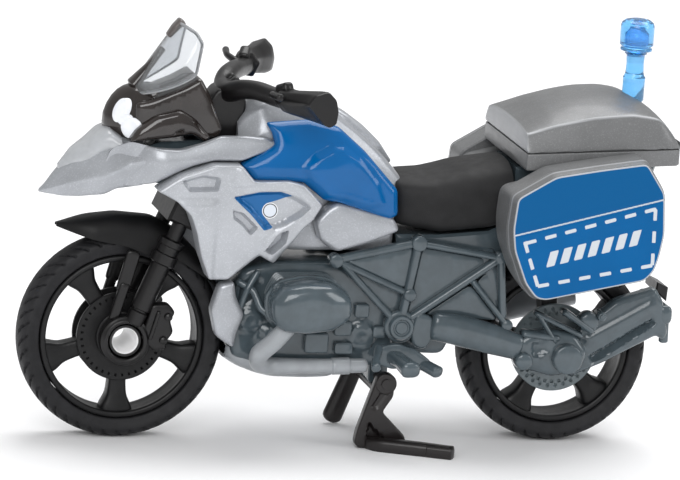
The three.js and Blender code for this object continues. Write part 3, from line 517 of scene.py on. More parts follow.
def tyre(w):
    # Radius and width of the cross-section follow a rounded carcass; the shoulder is cut by slanted
    # grooves, which are a narrow trough in angle that fades out towards the middle of the tread.
    r, half = w["radius"], w["width"] / 2
    inner = r - rimShape["lipDepth"] + rimShape["lipWall"] + 0.05
    right = [(inner, 0.72), (inner + 0.02, 0.86), (inner + 0.25, 0.9), (inner + 0.42, 0.88),
             (inner + 0.55, 0.93), (r - 1.05, 1.0), (r - 0.75, 0.985), (r - 0.48, 0.88), (r - 0.26, 0.70),
             (r - 0.12, 0.5), (r - 0.03, 0.25)]
    loop = [(a, -b * half) for a, b in right] + [(r, 0)] + [(a, b * half) for a, b in right[::-1]]
    profile = rounded(loop + [(inner, 0.3 * half), (inner, -0.3 * half)], 72, 2)

    def cutGrooves(t, radius, height):
        share = np.abs(height) / half
        slanted = np.sign(height) * share * w["blocks"] * tread["slant"] / 6
        place = (t * w["blocks"] / (2 * np.pi) + slanted) % 1
        trough = 1 - smooth(np.abs(place - 0.5) / w["blocks"] * 2 * np.pi * r, tread["groove"] * 0.4,
                            tread["groove"] * 1.3)
        fade = 1 - smooth(share, 0.955, 1.0)
        zone = smooth(share, 0.30, 0.48) * fade * smooth(radius, r - 1.1, r - 0.75)
        cut = tread["depth"] * trough * zone
        return radius - cut * 0.8, height - np.sign(height) * cut * 0.55

    return turned(profile, w["hub"], (0, 1, 0), 528, True, cutGrooves)


def spoke(w, angle, face):
    # A bar from the hub to the lip that narrows in the middle and dishes inwards, section rounded.
    lip = w["radius"] - rimShape["lipDepth"] + 0.25
    s = np.linspace(0, 1, 18)
    radial = 1.6 + (lip - 1.6) * s
    half = 1.25 - 0.3 * np.sin(np.pi * np.minimum(s * 1.15, 1)) + 0.55 * smooth(s, 0.7, 1)
    deep = face * (0.62 + 0.18 * smooth(s, 0.6, 1))
    section = oval(24, 4.5)
    a = math.radians(angle)
    out, across = np.array([math.cos(a), 0, math.sin(a)]), np.array([-math.sin(a), 0, math.cos(a)])
    wide = (half[:, None] * section[None, :, 0])[..., None] * across
    thick = (deep[:, None] * section[None, :, 1])[..., None] * np.array([0, 1, 0])
    rows = np.array(w["hub"]) + radial[:, None, None] * out + wide + thick
    return grid(capped(rows))


def perforated(centre, inner, outer, low, high, holes, rowsOf, holeRadius, columns):
    # Brake disc: a flat ring whose faces dip where the distance to the nearest hole centre is small.
    radii = np.linspace(inner + 0.02, outer - 0.06, 26)
    loop = [(inner, low), (inner, high)] + [(k, high) for k in radii]
    loop += [(outer, high - 0.06), (outer, low + 0.06)] + [(k, low) for k in radii[::-1]]

    def holesIn(t, radius, height):
        dip = np.zeros_like(radius + t)
        for k, row in enumerate(rowsOf):
            place = (t * holes / (2 * np.pi) + 0.5 * (k % 2)) % 1 - 0.5
            gap = np.hypot(place * 2 * np.pi * row / holes, radius - row)
            dip = np.maximum(dip, 1 - smooth(gap, holeRadius * 0.6, holeRadius * 1.25))
        middle = (low + high) / 2
        return radius + 0 * t, height - np.sign(height - middle) * dip * abs(high - low) * 0.42

    return turned(loop, centre, (0, 1, 0), columns, True, holesIn)


for name, w in wheels.items():
    piece(f"{name}_tyre_tread", [tyre(w)], "tyre", w["body"], [f"{name}_tyre"], 50)
    face = w["width"] / 2 - 0.4
    lip = w["radius"] - rimShape["lipDepth"]
    wall = lip + rimShape["lipWall"]
    bore = w["bore"]
    lipLoop = rounded([(lip, -face), (lip + 0.15, -face * 0.55), (lip + 0.15, face * 0.55), (lip, face),
                       (lip + 0.2, face + 0.18), (wall, face + 0.12), (wall, -face - 0.12),
                       (lip + 0.2, -face - 0.18)],
                      40, 2)
    hubLoop = rounded([(bore, -face), (bore, face), (bore + 0.9, face), (bore + 1.05, face * 0.6),
                       (bore + 1.05, -face * 0.6), (bore + 0.9, -face)], 40, 1)
    shells = [turned(lipLoop, w["hub"], (0, 1, 0), 120, True), turned(hubLoop, w["hub"], (0, 1, 0), 64, True)]
    for k in range(rimShape["spokes"]):
        shells.append(spoke(w, w["firstSpoke"] + 360 / rimShape["spokes"] * k, face))
    discFace = rimShape["discShare"] * face
    ring = dict(w["disc"], low=discFace + w["disc"]["low"], high=discFace + w["disc"]["high"])
    ring = perforated(w["hub"], **ring)
    pair = [mirrored(ring, sign) for sign in (1, -1)] if name == "front" else []
    piece(f"{name}_wheel_casting", shells + pair, "rim", w["body"], [f"{name}_rim"])
    if name == "front":
        # hollow axle: black outside, painted white inside the bore as the light seen through the hole
        inner, outer, half = (axleTube[k] for k in ("inner", "outer", "half"))
        tube = rounded([(inner, -half), (inner, half), (outer, half), (outer, -half)], 48, 1)
        piece("front_axle_tube", [turned(tube, w["hub"], (0, 1, 0), 48, True)], "axle", w["body"],
              ["front_axle_sleeve"], 40,
              lambda v: dict(bore=np.hypot(v[:, 0] - frontHub[0],
                                           v[:, 2] - frontHub[2]) - axleTube["boreLightRadius"]))
    else:
        piece("rear_brake_disc", [ring], "hub", w["body"])
print("wheels ready")


# ---- fork, fender, bars ----
def steered(across, y, up):
    # Point in the steering frame: forward of the axis, sideways, and up along it from the axle.
    a, y, u = np.broadcast_arrays(np.asarray(across, float), np.asarray(y, float), np.asarray(up, float))
    sideways = y[..., None] * np.array([0, 1, 0])
    return frontHub + a[..., None] * steerAcross + sideways + u[..., None] * steerAxis


fork = dict(legY=3.45, slider=1.08, tube=0.82, boss=2.7, inner=2.5, outer=3.9, top=16.2)
fender = dict(top=[(32.0, 22.9), (31.1, 23.1), (28.1, 23.9), (25.0, 24.3), (21.1, 24.0), (18.3, 22.6),
                   (15.6, 19.9), (13.4, 16.3)],
              low=[(31.9, 22.9), (30.6, 22.5), (27.2, 21.6), (24.2, 21.1), (21.4, 20.1), (18.2, 19.6),
                   (14.9, 17.5), (13.0, 15.7)], half=2.62, wall=0.34)
guard = dict(inner=9.3, outer=15.3)


def forkLeg(sign):
    y = fork["legY"]
    leg = [(0.001, 1.95), (0.85, 1.95), (1.0, 2.1), (1.0, 3.4), (0.85, 3.55), (0.85, 3.7),
           (fork["slider"], 3.8), (fork["slider"], 9.0), (1.42, 9.2), (1.42, 10.2), (1.2, 10.3), (1.2, 11.1),
           (1.38, 11.2), (1.38, 11.8), (fork["tube"], 11.95), (fork["tube"], fork["top"] - 0.15),
           (0.001, fork["top"])]
    shells = [turned(leg, steered(0, y, 0), steerAxis, 28)]
    x, z = frontHub[0], frontHub[2]
    boss = rounded([(1.9, fork["inner"]), (1.9, fork["outer"] + 0.1), (2.25, fork["outer"] + 0.2),
                    (2.4, fork["outer"]), (fork["boss"], fork["outer"] - 0.15),
                    (fork["boss"], fork["inner"])], 40, 1)
    shells.append(turned(boss, (x, 0, z), (0, 1, 0), 56, True))
    # the brake caliper behind the leg, with two bolt heads and a carrier rib
    caliper = [(-0.9, 4.7), (-2.6, 5.5), (-3.7, 4.9), (-3.5, 3.9), (-4.4, 2.9), (-4.1, 1.5), (-4.6, 0.9),
               (-3.2, 0.2), (-1.4, 0.9)]
    flat = steered([p[0] for p in caliper], 0, [p[1] for p in caliper])[:, [0, 2]]
    shells.append(panel(flat, fork["outer"] - 0.1, fork["inner"] + 0.05, 0.3, dome=0.15, spacing=0.3))
    for a, u in ((-3.1, 4.2), (-3.7, 1.7)):
        at = steered(a, 0, u)
        shells.append(disc(at[0], at[2], 0.42, 3.0, fork["outer"] + 0.3, 0.12, 20, 0.08))
    a, b = steered(-1.9, 0, 4.4), steered(-2.3, 0, 1.2)
    shells.append(strut(a[[0, 2]], b[[0, 2]], 0.5, 3.0, fork["outer"] + 0.25))
    # wide brace ahead of the slider
    shells.append(strut((23.2, 20.6), (24.3, 16.2), 1.5, fork["inner"] + 0.05, fork["inner"] + 0.7))
    shells.append(strut((24.0, 17.2), (25.1, 13.2), 1.1, fork["inner"] + 0.05, fork["inner"] + 0.9))
    return [mirrored(s, sign) for s in shells]


for side, sign in sides.items():
    piece(f"fork_leg_{side}_casting", forkLeg(sign), "black", "steering",
          [f"fork_leg_{side}"])


def fenderShell(f):
    # Arched sheet: at each station the section is half a superellipse from edge to edge, and the
    # inner face is the same arch moved in by the wall.
    x = np.linspace(31.25, 13.1, 44)
    top, low = curve(f["top"], x), curve(f["low"], x)
    half = f["half"] * smooth(32.4 - x, 0, 5.2) ** 0.8
    half = np.where(x < 20, f["half"] + (20 - x) * 0.02, half)
    a = np.linspace(0, np.pi, 23)
    c, s = np.cos(a), np.sin(a)
    arch = lambda w, h, base: np.stack([np.repeat(x[:, None], len(a), 1),
                                        w[:, None] * np.sign(c) * np.abs(c) ** 0.75,
                                        base[:, None] + h[:, None] * s ** 0.8], -1)
    wall = f["wall"] * smooth(31.6 - x, 0, 1.5) + 0.02
    outer = arch(half, top - low, low)
    inner = arch(np.maximum(half - wall, 0.01), np.maximum(top - low - wall, 0.01), low)[:, ::-1]
    return grid(capped(np.concatenate([outer, inner], 1)))


piece("front_fender_sheet", [fenderShell(fender)], "matt", "steering", ["front_fender"], 60)


def handlebarShells():
    # Clamp block on the axis, and one flattened bar that rises, runs out and drops to each grip.
    path = [(9.4, 9.9, 38.5), (10.3, 8.2, 38.5), (11.6, 5.8, 38.7), (12.9, 3.6, 38.4), (13.7, 1.6, 37.6)]
    path = np.array(path + [(x, -y, z) for x, y, z in path[::-1]])
    shells = [rod(path, [1.0, 0.95, 1.0, 1.1, 1.15, 1.1, 1.0, 0.95, 1.0], 1.0, 2.6, 60, 24, up=(0, 0, 1),
                  soft=8)]
    clamp = [(15.9, 31.9), (13.2, 31.2), (11.7, 36.4), (12.3, 38.0), (14.9, 38.1), (15.9, 36.6)]
    shells.append(panel(clamp, 2.0, -2.0, 0.35, 0.35, soft=2, spacing=0.5))
    for sign in (1, -1):
        shells.append(rod([(15.0, sign * 1.25, 32.2), (13.4, sign * 1.25, 36.9)], 0.62, 1, 3, 8, 16))
        shells.append(rod([(12.3, sign * 1.1, 37.8), (13.2, sign * 1.1, 38.8)], 0.6, 1, 4, 8, 16))
        # lever joint and its short lever
        shells.append(rod([(9.9, sign * 9.0, 39.4), (9.4, sign * 10.3, 39.9)], 0.62, 1, 3, 8, 16))
        shells.append(rod([(10.6, sign * 9.4, 38.9), (11.3, sign * 11.0, 39.3), (10.9, sign * 13.4, 39.4)],
                          [0.42, 0.34, 0.4], 1, 2, 14, 14))
    return shells


def handGuard(sign):
    # Loft from a small inner section to the large D-shaped end face, its rim rounded.
    inner = rounded([(8.6, 37.2), (9.9, 37.4), (10.7, 38.4), (10.2, 39.6), (8.8, 39.9), (7.9, 38.8)], 48, 2)
    outer = rounded([(5.2, 37.0), (5.9, 36.6), (6.5, 36.9), (8.4, 39.0), (7.7, 40.0), (6.2, 40.5),
                     (5.3, 39.6), (5.0, 38.3)], 48, 1)
    # the outer outline is turned so that its upper front corner lines up with the inner one's
    nearest = lambda line, reach: np.argmin(np.linalg.norm(line - line.mean(0) - np.array([1, 1]) * reach,
                                                           axis=1))
    outer = np.roll(outer, nearest(inner, 1) - nearest(outer, 2), 0)
    s = np.array([0, 0.02, 0.1, 0.25, 0.42, 0.6, 0.8, 0.93, 0.98, 1.0, 1.0])
    swell = np.array([0.8, 0.97, 1, 1, 1, 1, 1, 1, 0.99, 0.94, 0.86])
    grow = smooth(s, 0.25, 1.0)
    rows = inner[None] * (1 - grow)[:, None, None] + outer[None] * grow[:, None, None]
    middle = rows.mean(1, keepdims=True)
    rows = middle + (rows - middle) * swell[:, None, None]
    y = guard["inner"] + (guard["outer"] - guard["inner"]) * s
    y = np.repeat(y[:, None], 48, 1)
    solid = np.stack([rows[..., 0], sign * y, rows[..., 1]], -1)
    return grid(capped(solid))


piece("handlebar_casting", handlebarShells(), "black", "steering", ["handlebar"])
for side, sign in sides.items():
    piece(f"hand_guard_{side}_shell", [handGuard(sign)], "black", "steering",
          [f"hand_guard_{side}"], 32)
print("steering ready")


# ---- engine ----
coreHalf = 4.6
engine = dict(case=[(12.3, 9.6), (12.7, 12.0), (12.5, 16.9), (11.7, 19.2), (8.5, 20.0), (1.3, 20.0),
                    (-3.0, 18.2), (-5.2, 17.2), (-5.4, 10.4), (-3.6, 8.7), (8.8, 8.7)],
              gearbox=[(-4.9, 10.2), (-5.0, 20.4), (-12.0, 20.4), (-12.4, 14.2), (-10.8, 10.0)])


def bothSides(outline, half, edge, soft=3, spacing=0.5, relief=None):
    # Body between two like faces, y = plus and minus the same height.
    upper, faces = panel(outline, half, 0.0, edge, soft=soft, spacing=spacing, relief=relief)
    n = len(upper) // 2
    whole = upper.copy()
    whole[n:, 1] = -upper[:n, 1]
    return whole, faces


def engineRelief(p):
    # Round covers stand proud, pockets between them are sunk.
    rise = np.zeros(len(p))
    for x, z, radius, height in ((10.6, 13.6, 1.5, 0.45), (8.2, 12.1, 1.3, 0.5), (-1.6, 12.0, 1.7, 0.5)):
        gap = np.hypot(p[:, 0] - x, p[:, 1] - z)
        cover = height * (1 - smooth(gap, radius * 0.75, radius))
        rise += cover - 0.25 * height * (1 - smooth(gap, 0, radius * 0.5))
    rise += pit(p, [(12.0, 17.6), (9.4, 18.6), (10.6, 15.6), (12.0, 15.3)], 0.5, 0.35)
    return rise


shells = [bothSides(engine["case"], coreHalf, 0.8, 4, 0.42, engineRelief),
          bothSides(engine["gearbox"], coreHalf - 0.25, 0.6, 4, 0.6)]
for sign in (1, -1):
    for x, z, wide, high, reach in ((0.6, 13.0, 1.9, 1.6, 0.9), (-1.4, 14.9, 1.6, 1.5, 0.7),
                                    (0.4, 10.8, 2.0, 1.3, 0.8), (3.4, 11.4, 2.6, 2.2, 0.9),
                                    (-3.4, 12.6, 1.4, 1.3, 0.8)):
        box = [(x - wide / 2, z - high / 2), (x + wide / 2, z - high / 2), (x + wide / 2, z + high / 2),
               (x - wide / 2, z + high / 2)]
        shells.append(mirrored(panel(box, coreHalf + reach, coreHalf - 0.5, 0.2, soft=2, spacing=0.3), sign))
    # hoses over the case front
    shells.append(rod([(12.1, sign * 4.5, 17.8), (10.6, sign * 5.3, 17.0), (9.9, sign * 6.2, 15.3),
                       (8.6, sign * 7.0, 14.4)],
                      0.42, 1, 2, 26, 14))
    shells.append(rod([(12.4, sign * 4.6, 12.6), (12.0, sign * 5.3, 15.0), (11.3, sign * 5.4, 17.2),
                       (10.2, sign * 5.0, 19.0)],
                      0.36, 1, 2, 26, 14))
shells.append(bothSides([(-5.4, 6.3), (-3.3, 6.3), (-3.3, 9.6), (-5.4, 10.3)], 2.1, 0.15, 2, 0.4))
piece("engine_casting", shells, "grey", "chassis", ["engine_block"])

head = dict(outline=[(9.8, 17.2), (8.6, 18.7), (5.6, 19.3), (3.2, 19.0), (1.0, 17.5), (0.8, 15.3),
                     (2.6, 13.9), (6.0, 13.5), (8.4, 13.7), (9.6, 14.9)], inner=7.7, outer=12.1)
spoiler = dict(outline=[(12.6, 10.9), (14.6, 12.2), (15.3, 15.0), (14.5, 17.8), (12.9, 18.2), (12.6, 16.4),
                        (11.6, 14.6), (12.3, 12.6)], face=6.2, back=4.75)
barrel = [(9.2, 13.9), (9.4, 17.0), (8.4, 19.0), (2.4, 19.0), (1.5, 17.0), (1.8, 14.2), (3.2, 13.3),
          (8.2, 13.2)]


def headCover(sign):
    # The outline carried sideways: it swells a little, then closes over a rounded outer face whose
    # rear side falls away; a raised lip runs round where it meets the barrel.
    line = rounded(head["outline"], 72, 5)
    middle = line.mean(0)
    s = np.array([0, 0, 0.12, 0.13, 0.16, 0.3, 0.5, 0.68, 0.8, 0.88, 0.94, 0.98, 1.0, 1.0])
    size = np.array([0.9, 1.05, 1.05, 1.0, 0.99, 1.01, 1.0, 0.97, 0.92, 0.85, 0.75, 0.62, 0.42, 0.2])
    shape = middle + (line - middle)[None] * size[:, None, None]
    lean = 0.9 * smooth(s, 0.3, 1)
    y = head["inner"] + (head["outer"] - head["inner"]) * s
    x = shape[..., 0] + lean[:, None] * 0.3
    behind = smooth(middle[0] - shape[..., 0], 0, 4)
    y = np.repeat(y[:, None], 72, 1) - 0.5 * smooth(s, 0.6, 1)[:, None] * behind
    return grid(capped(np.stack([x, sign * y, shape[..., 1]], -1)))


def finnedBarrel(sign):
    # The barrel outline is scaled by a square wave along its length, which makes the fins.
    line = rounded(barrel, 60, 2)
    middle = line.mean(0)
    s = np.linspace(0, 1, 41)
    wave = 1 - 0.09 * smooth(np.abs((s * 5) % 1 - 0.5), 0.2, 0.3)
    shape = middle + (line - middle)[None] * wave[:, None, None]
    y = np.repeat((4.5 + 3.3 * s)[:, None], 60, 1)
    return grid(capped(np.stack([shape[..., 0], sign * y, shape[..., 1]], -1)))


for side, sign in sides.items():
    piece(f"cylinder_{side}_finned", [finnedBarrel(sign)], "grey", "chassis",
          [f"cylinder_{side}"])
    cover = [headCover(sign)]
    for x, z in ((8.9, 18.2), (2.6, 18.0), (2.7, 14.6)):
        cover.append(mirrored(disc(x, z, 0.42, head["inner"] + 0.3, head["inner"] + 1.2, 0.12, 18, 0.05),
                              sign))
    piece(f"head_cover_{side}_casting", cover, "grey", "chassis", [f"head_cover_{side}"], 50)
    pipe = [(7.6, 9.6, 14.2), (9.0, 9.4, 12.4), (10.5, 8.6, 10.9), (10.1, 7.2, 9.6), (8.8, 5.9, 9.0),
            (6.0, 5.55, 8.95), (2.0, 5.55, 8.95), (-1.9, 5.55, 9.05)]
    path = np.array(pipe) * np.array([1, sign, 1])
    shells = [rod(path, [0.95, 0.98, 1.0, 0.98, 0.92, 0.85, 0.8, 0.8, 0.8, 0.75], 1, 2.2, 70, 24, soft=10)]
    shells.append(rod([(1.6, sign * 5.55, 8.95), (-0.2, sign * 5.55, 9.0)], 0.92, 1, 2, 8, 20, 0.3))
    piece(f"exhaust_header_{side}_pipe", shells, "chrome", "chassis",
          [f"exhaust_header_{side}"])
    blade = panel(spoiler["outline"], spoiler["face"], spoiler["back"], 0.4, dome=0.25, spacing=0.35)
    piece(f"front_spoiler_{side}_blade", [mirrored(blade, sign)], "silver", "chassis",
          [f"front_spoiler_{side}"])

pan = dict(low=[(14.2, 10.2), (13.0, 9.1), (11.5, 8.2), (9.5, 7.45), (7.6, 7.05), (4.0, 6.95), (1.3, 7.1),
                (0.6, 7.7), (-2.3, 8.2)],
           rim=[(14.2, 11.0), (11.5, 10.2), (9.0, 9.0), (7.6, 8.6), (1.3, 8.6), (-2.3, 8.75)])


def panShell(p):
    # Trough: each section is a flat-bottomed U; the inner face is the same U moved in by the wall.
    x = np.linspace(12.72, -2.3, 40)
    low, rim = curve(p["low"], x), curve(p["rim"], x)
    half = 4.2 * smooth(14.6 - x, 0, 3.4) ** 0.5
    a = np.linspace(-np.pi, 0, 25)
    c, s = np.cos(a), -np.sin(a)
    bowl = lambda w, floor: np.stack([np.repeat(x[:, None], 25, 1),
                                      w[:, None] * np.sign(c) * np.abs(c) ** 0.55,
                                      rim[:, None] - (rim - floor)[:, None] * s ** 0.55], -1)
    outer = bowl(half, low)
    inner = bowl(half - 0.35, np.minimum(low + 0.35, rim - 0.02))[:, ::-1]
    return grid(capped(np.concatenate([outer, inner], 1)))


piece("belly_pan_trough", [panShell(pan)], "chrome", "chassis", ["belly_pan"], 45)

can = [(-11.6, -7.9, 10.6), (-16.0, -8.0, 11.8), (-28.0, -8.1, 14.7)]
link = [(-2.2, -5.8, 8.7), (-4.4, -7.3, 7.6), (-8.6, -7.8, 8.0), (-12.4, -7.9, 10.6)]
shells = [rod(can, [1.2, 1.75, 1.85, 1.85, 1.85, 1.8], 1, 2.6, 30, 32, 0.15, soft=2),
          rod(link, 0.75, 1, 2, 30, 18)]
for share in (0.28, 0.86):
    at = np.array(can[0]) * (1 - share) + np.array(can[2]) * share
    shells.append(turned(rounded([(1.7, -0.35), (1.98, -0.35), (1.98, 0.35), (1.7, 0.35)], 20, 1), at,
                         np.array(can[2]) - np.array(can[0]), 36, True))
piece("silencer_can", shells, "chrome", "chassis", ["silencer"])
print("engine ready")


# ---- frame, swingarm, carrier, foot rests ----
node = dict(a=(2.0, 20.5), b=(-7.0, 22.5), c=(-6.3, 16.9), p=(-5.5, 13.4), d=(-16.1, 21.0), e=(-13.2, 18.4),
            f=(-17.2, 13.7))
frameLow, frameHigh = 4.75, 6.05
infillShape = dict(face=5.2, dome=0.15, inset=0.84)


def frameSide(sign):
    n = node
    bars = [(n["a"], n["b"], 0.95), (n["a"], n["c"], 0.75), ((1.2, 20.1), n["p"], 0.8),
            (n["b"], n["p"], 0.95), ((-6.4, 14.2), n["d"], 0.9), (n["b"], n["d"], 0.75),
            (n["e"], n["f"], 0.7), (n["d"], (-16.7, 14.6), 0.9)]
    shells = [strut(a, b, w, frameLow, frameHigh + 0.05 * k, 2.6, 0.2) for k, (a, b, w) in enumerate(bars)]
    infill = [([n["a"], n["b"], n["c"]], 0.55, 0.25), ([n["b"], n["d"], n["e"], n["p"]], 0.1, 0.12),
              ([n["e"], n["d"], (-16.7, 14.6), n["f"]], 0.1, 0.12), ([n["a"], n["c"], n["p"]], -0.15, 0.12),
              ([n["e"], n["f"], (-7.4, 14.4)], 0.0, 0.12)]
    for corners, rise, edge in infill:
        corners = np.array(corners, float)
        inset = corners.mean(0) + (corners - corners.mean(0)) * infillShape["inset"]
        shells.append(panel(inset, infillShape["face"] + rise, frameLow, edge, dome=infillShape["dome"],
                            soft=3, spacing=0.5))
    for key, radius in (("a", 0.75), ("b", 0.85), ("c", 0.7), ("d", 0.7), ("f", 0.62)):
        shells.append(disc(*n[key], radius, frameLow, frameHigh + 0.3, 0.2, 28, 0.08))
    x, z = n["p"]
    shells.append(disc(x, z, 1.75, frameLow, frameHigh + 0.1, 0.25, 44))
    cap = [(0.001, frameHigh - 0.3), (1.35, frameHigh - 0.3), (1.35, frameHigh + 0.5),
           (1.22, frameHigh + 0.68), (0.95, frameHigh + 0.68), (0.82, frameHigh + 0.5),
           (0.72, frameHigh + 0.5), (0.6, frameHigh + 0.62), (0.001, frameHigh + 0.66)]
    shells.append(turned(cap, (x, 0, z), (0, 1, 0), 44))
    # bracket of the rear foot rest, behind the cap
    shells.append(panel([(-7.2, 15.0), (-8.9, 14.6), (-9.3, 12.6), (-8.2, 10.9), (-6.9, 11.4), (-6.6, 13.0)],
                        frameHigh + 0.25, frameLow, 0.25, dome=0.1, spacing=0.4))
    shells.append(strut((-14.6, 21.6), (-16.4, 16.0), 2.0, 3.2, 5.4, 3.0))
    return [mirrored(s, sign) for s in shells]


for side, sign in sides.items():
    piece(f"frame_side_{side}_casting", frameSide(sign), "grey", "chassis",
          [f"frame_side_{side}"])

arm = dict(path=[(-9.2, 5.95, 13.5), (-11.5, 5.95, 13.2), (-15.5, 5.95, 12.2), (-18.6, 5.95, 11.3)],
           radius=[1.55, 1.7, 1.65, 1.4])
hubX, hubZ = rearHub[0], rearHub[2]
driveOuter = 7.4
shells = [rod(arm["path"], arm["radius"], 0.66, 2.4, 30, 28, 0.3)]
shells.append(disc(hubX + 4.7, hubZ - 0.4, 0.95, 4.8, driveOuter - 0.1, 0.3, 28, 0.1))
shells.append(panel([(hubX + 5.6, hubZ + 1.7), (hubX + 5.0, hubZ - 1.2), (hubX + 1.4, hubZ - 2.2),
                     (hubX - 1.9, hubZ - 1.6), (hubX - 2.5, hubZ + 0.6), (hubX - 1.0, hubZ + 2.6),
                     (hubX + 1.8, hubZ + 3.0), (hubX + 4.2, hubZ + 2.6)],
                    6.5, 4.75, 0.6, dome=0.3, spacing=0.4,
                    relief=lambda p: pit(p, [(hubX + 4.2, hubZ + 1.6), (hubX + 3.6, hubZ - 0.2),
                                             (hubX + 1.9, hubZ + 0.4), (hubX + 2.0, hubZ + 2.0)], 0.45, 0.4)))
shells.append(disc(hubX, hubZ, 1.62, 5.6, driveOuter + 0.45, 0.28, 44, 0.12))
for a, b, w in (((-20.6, 14.9), (-22.6, 12.0), 0.6), ((-20.3, 15.1), (-25.4, 12.7), 0.65),
                ((-19.0, 12.9), (-22.9, 12.4), 0.9), ((-23.4, 15.3), (-26.6, 13.2), 0.8)):
    shells.append(strut(a, b, w, 5.0, 6.9, 2.4, 0.15))
shells.append(disc(-26.2, 14.2, 1.1, 4.9, 6.6, 0.35, 28, 0.1))
shells.append(disc(-27.5, 14.9, 0.5, 4.9, 7.0, 0.2, 18, 0.1))
piece("swingarm_casting", shells, "grey", "chassis", ["swingarm"])

tail = dict(arm=[(-24.9, 7.6), (-25.6, 12.9), (-29.6, 16.2), (-34.0, 17.6), (-34.9, 16.2), (-35.7, 12.6),
                 (-35.3, 11.7), (-34.4, 12.3), (-29.0, 9.4)], inner=3.2, outer=4.5,
            groove=[(-26.8, 10.1), (-33.9, 14.5), (-34.3, 13.6), (-27.3, 9.0)],
            ridge=[(-26.0, 12.2), (-33.9, 16.7), (-34.4, 15.2), (-26.4, 10.8)], grooveWall=0.55)


def armRelief(p):
    # Rounded ridge along the top edge, a long groove below it.
    ridge = 0.25 * smooth(-distanceTo(tail["ridge"], p), 0, 0.6)
    return pit(p, tail["groove"], 0.8, tail["grooveWall"]) + ridge


shells = [panel(tail["arm"], tail["outer"], tail["inner"], 0.5, dome=0.1, spacing=0.3, relief=armRelief,
                creases=[(tail["groove"], tail["grooveWall"])])]
shells.append(rod([(-35.25, 4.3, 14.6), (-35.35, 0, 14.5), (-35.25, -4.3, 14.6)], 1.0, 0.75, 3.0, 20, 24,
                  0.3))
shells.append(rod([(-35.4, 3.6, 13.8), (-35.45, 3.6, 11.6)], 0.5, 1, 2.6, 8, 18, up=(0, 1, 0)))
shells.append(disc(hubX, hubZ, 2.2, 3.15, 4.35, 0.2, 40))
piece("light_carrier_casting", shells, "grey", "chassis", ["light_carrier"])


def footRest(sign):
    shells = [panel([(-2.6, 9.7), (-3.0, 11.5), (-5.0, 11.8), (-7.0, 11.2), (-8.9, 9.9), (-8.5, 8.7),
                     (-6.4, 9.3), (-4.6, 9.0)], 7.3, 6.35, 0.25, dome=0.15, spacing=0.35)]
    shells.append(rod([(-4.6, 6.6, 10.4), (-5.2, 9.0, 10.2), (-5.6, 11.2, 9.9)], [0.75, 0.7, 0.85], 1.25, 3.0,
                      18, 22))
    shells.append(rod([(-3.0, 7.0, 11.2), (-2.2, 9.3, 10.4), (-2.0, 10.4, 9.9)], [0.5, 0.42, 0.5], 1.0, 2.4,
                      16, 18))
    shells.append(rod([(-8.1, 6.9, 9.5), (-9.2, 8.6, 9.1)], [0.6, 0.62], 1.2, 2.6, 10, 18))
    return [mirrored(s, sign) for s in shells]


for side, sign in sides.items():
    piece(f"foot_rest_{side}_casting", footRest(sign), "grey", "chassis",
          [f"foot_rest_{side}"])
print("frame ready")


# ---- centre stand ----
pivot = np.array(joints["stand_fold"]["pos_m"]) / mm
pivot[0] -= midX
stand = dict(inner=4.7, outer=5.9, foot=pivot[0] + 2.3, floor=0.005)


def standShells(s):
    foot, inner, outer = s["foot"], s["inner"], s["outer"]
    hip = pivot[[0, 2]]
    leg = [(hip[0] - 1.0, hip[1] + 0.8), (hip[0] - 0.9, hip[1] - 1.4), (foot - 2.1, 4.0), (foot - 4.7, 1.4),
           (foot - 4.9, 0.5), (foot - 4.4, 0.02), (foot + 0.3, 0.02), (foot + 0.8, 0.6), (foot + 0.55, 2.0),
           (hip[0] + 1.0, hip[1] + 0.7)]
    lower = [(foot - 0.6, 3.0), (foot - 0.4, 0.9), (foot - 2.7, 0.9)]
    upper = [(hip[0] + 0.5, hip[1] - 0.6), (hip[0] - 0.5, hip[1] - 0.8), (foot - 1.5, 4.2), (foot - 0.6, 4.4)]
    hollow = lambda p: pit(p, lower, 0.7, 0.25) + pit(p, upper, 0.25, 0.25)
    shells = [panel(leg, outer, inner, 0.22, 0.1, soft=3, spacing=0.28, relief=hollow)]
    shells.append(rod([(hip[0] + 0.4, -5.3, hip[1] + 0.3), (foot + 0.6, -5.35, 0.9)], [1.0, 1.05, 1.1], 0.62,
                      2.2, 22, 28, 0.7, up=(1, 0, 0)))
    shells.append(rod([(hip[0] + 0.4, -4.9, hip[1] - 1.1), (hip[0] + 0.4, 4.9, hip[1] - 1.1)], 0.5, 1, 2.2,
                      10, 20))
    lever = [(foot - 0.7, 5.3, 0.55), (foot - 1.4, 6.4, 0.5), (foot - 4.3, 7.7, 0.48), (foot - 8.9, 9.9, 0.5)]
    shells.append(rod(lever, [0.6, 0.85, 0.9, 0.9, 0.85, 0.8], 1.0, 3.2, 30, 24, 0.35, soft=4))
    a = np.array(lever[-1]) - np.array([0.1, -0.05, 0])
    shells.append(rod([a + np.array([2.4, -1.1, 0.06]), a + np.array([0.1, 0, 0.06])], 0.72, 1.28, 4, 10, 24,
                      0.3))
    boss = disc(hip[0], hip[1], 1.15, inner, outer + 0.1, 0.15, 32)
    shells += [boss, mirrored(boss, -1)]
    # nothing reaches below the floor
    return [(np.maximum(v, [-1e3, -1e3, s["floor"]]), f) for v, f in shells]


piece("centre_stand_casting", standShells(stand), "stand", "stand", ["centre_stand"])


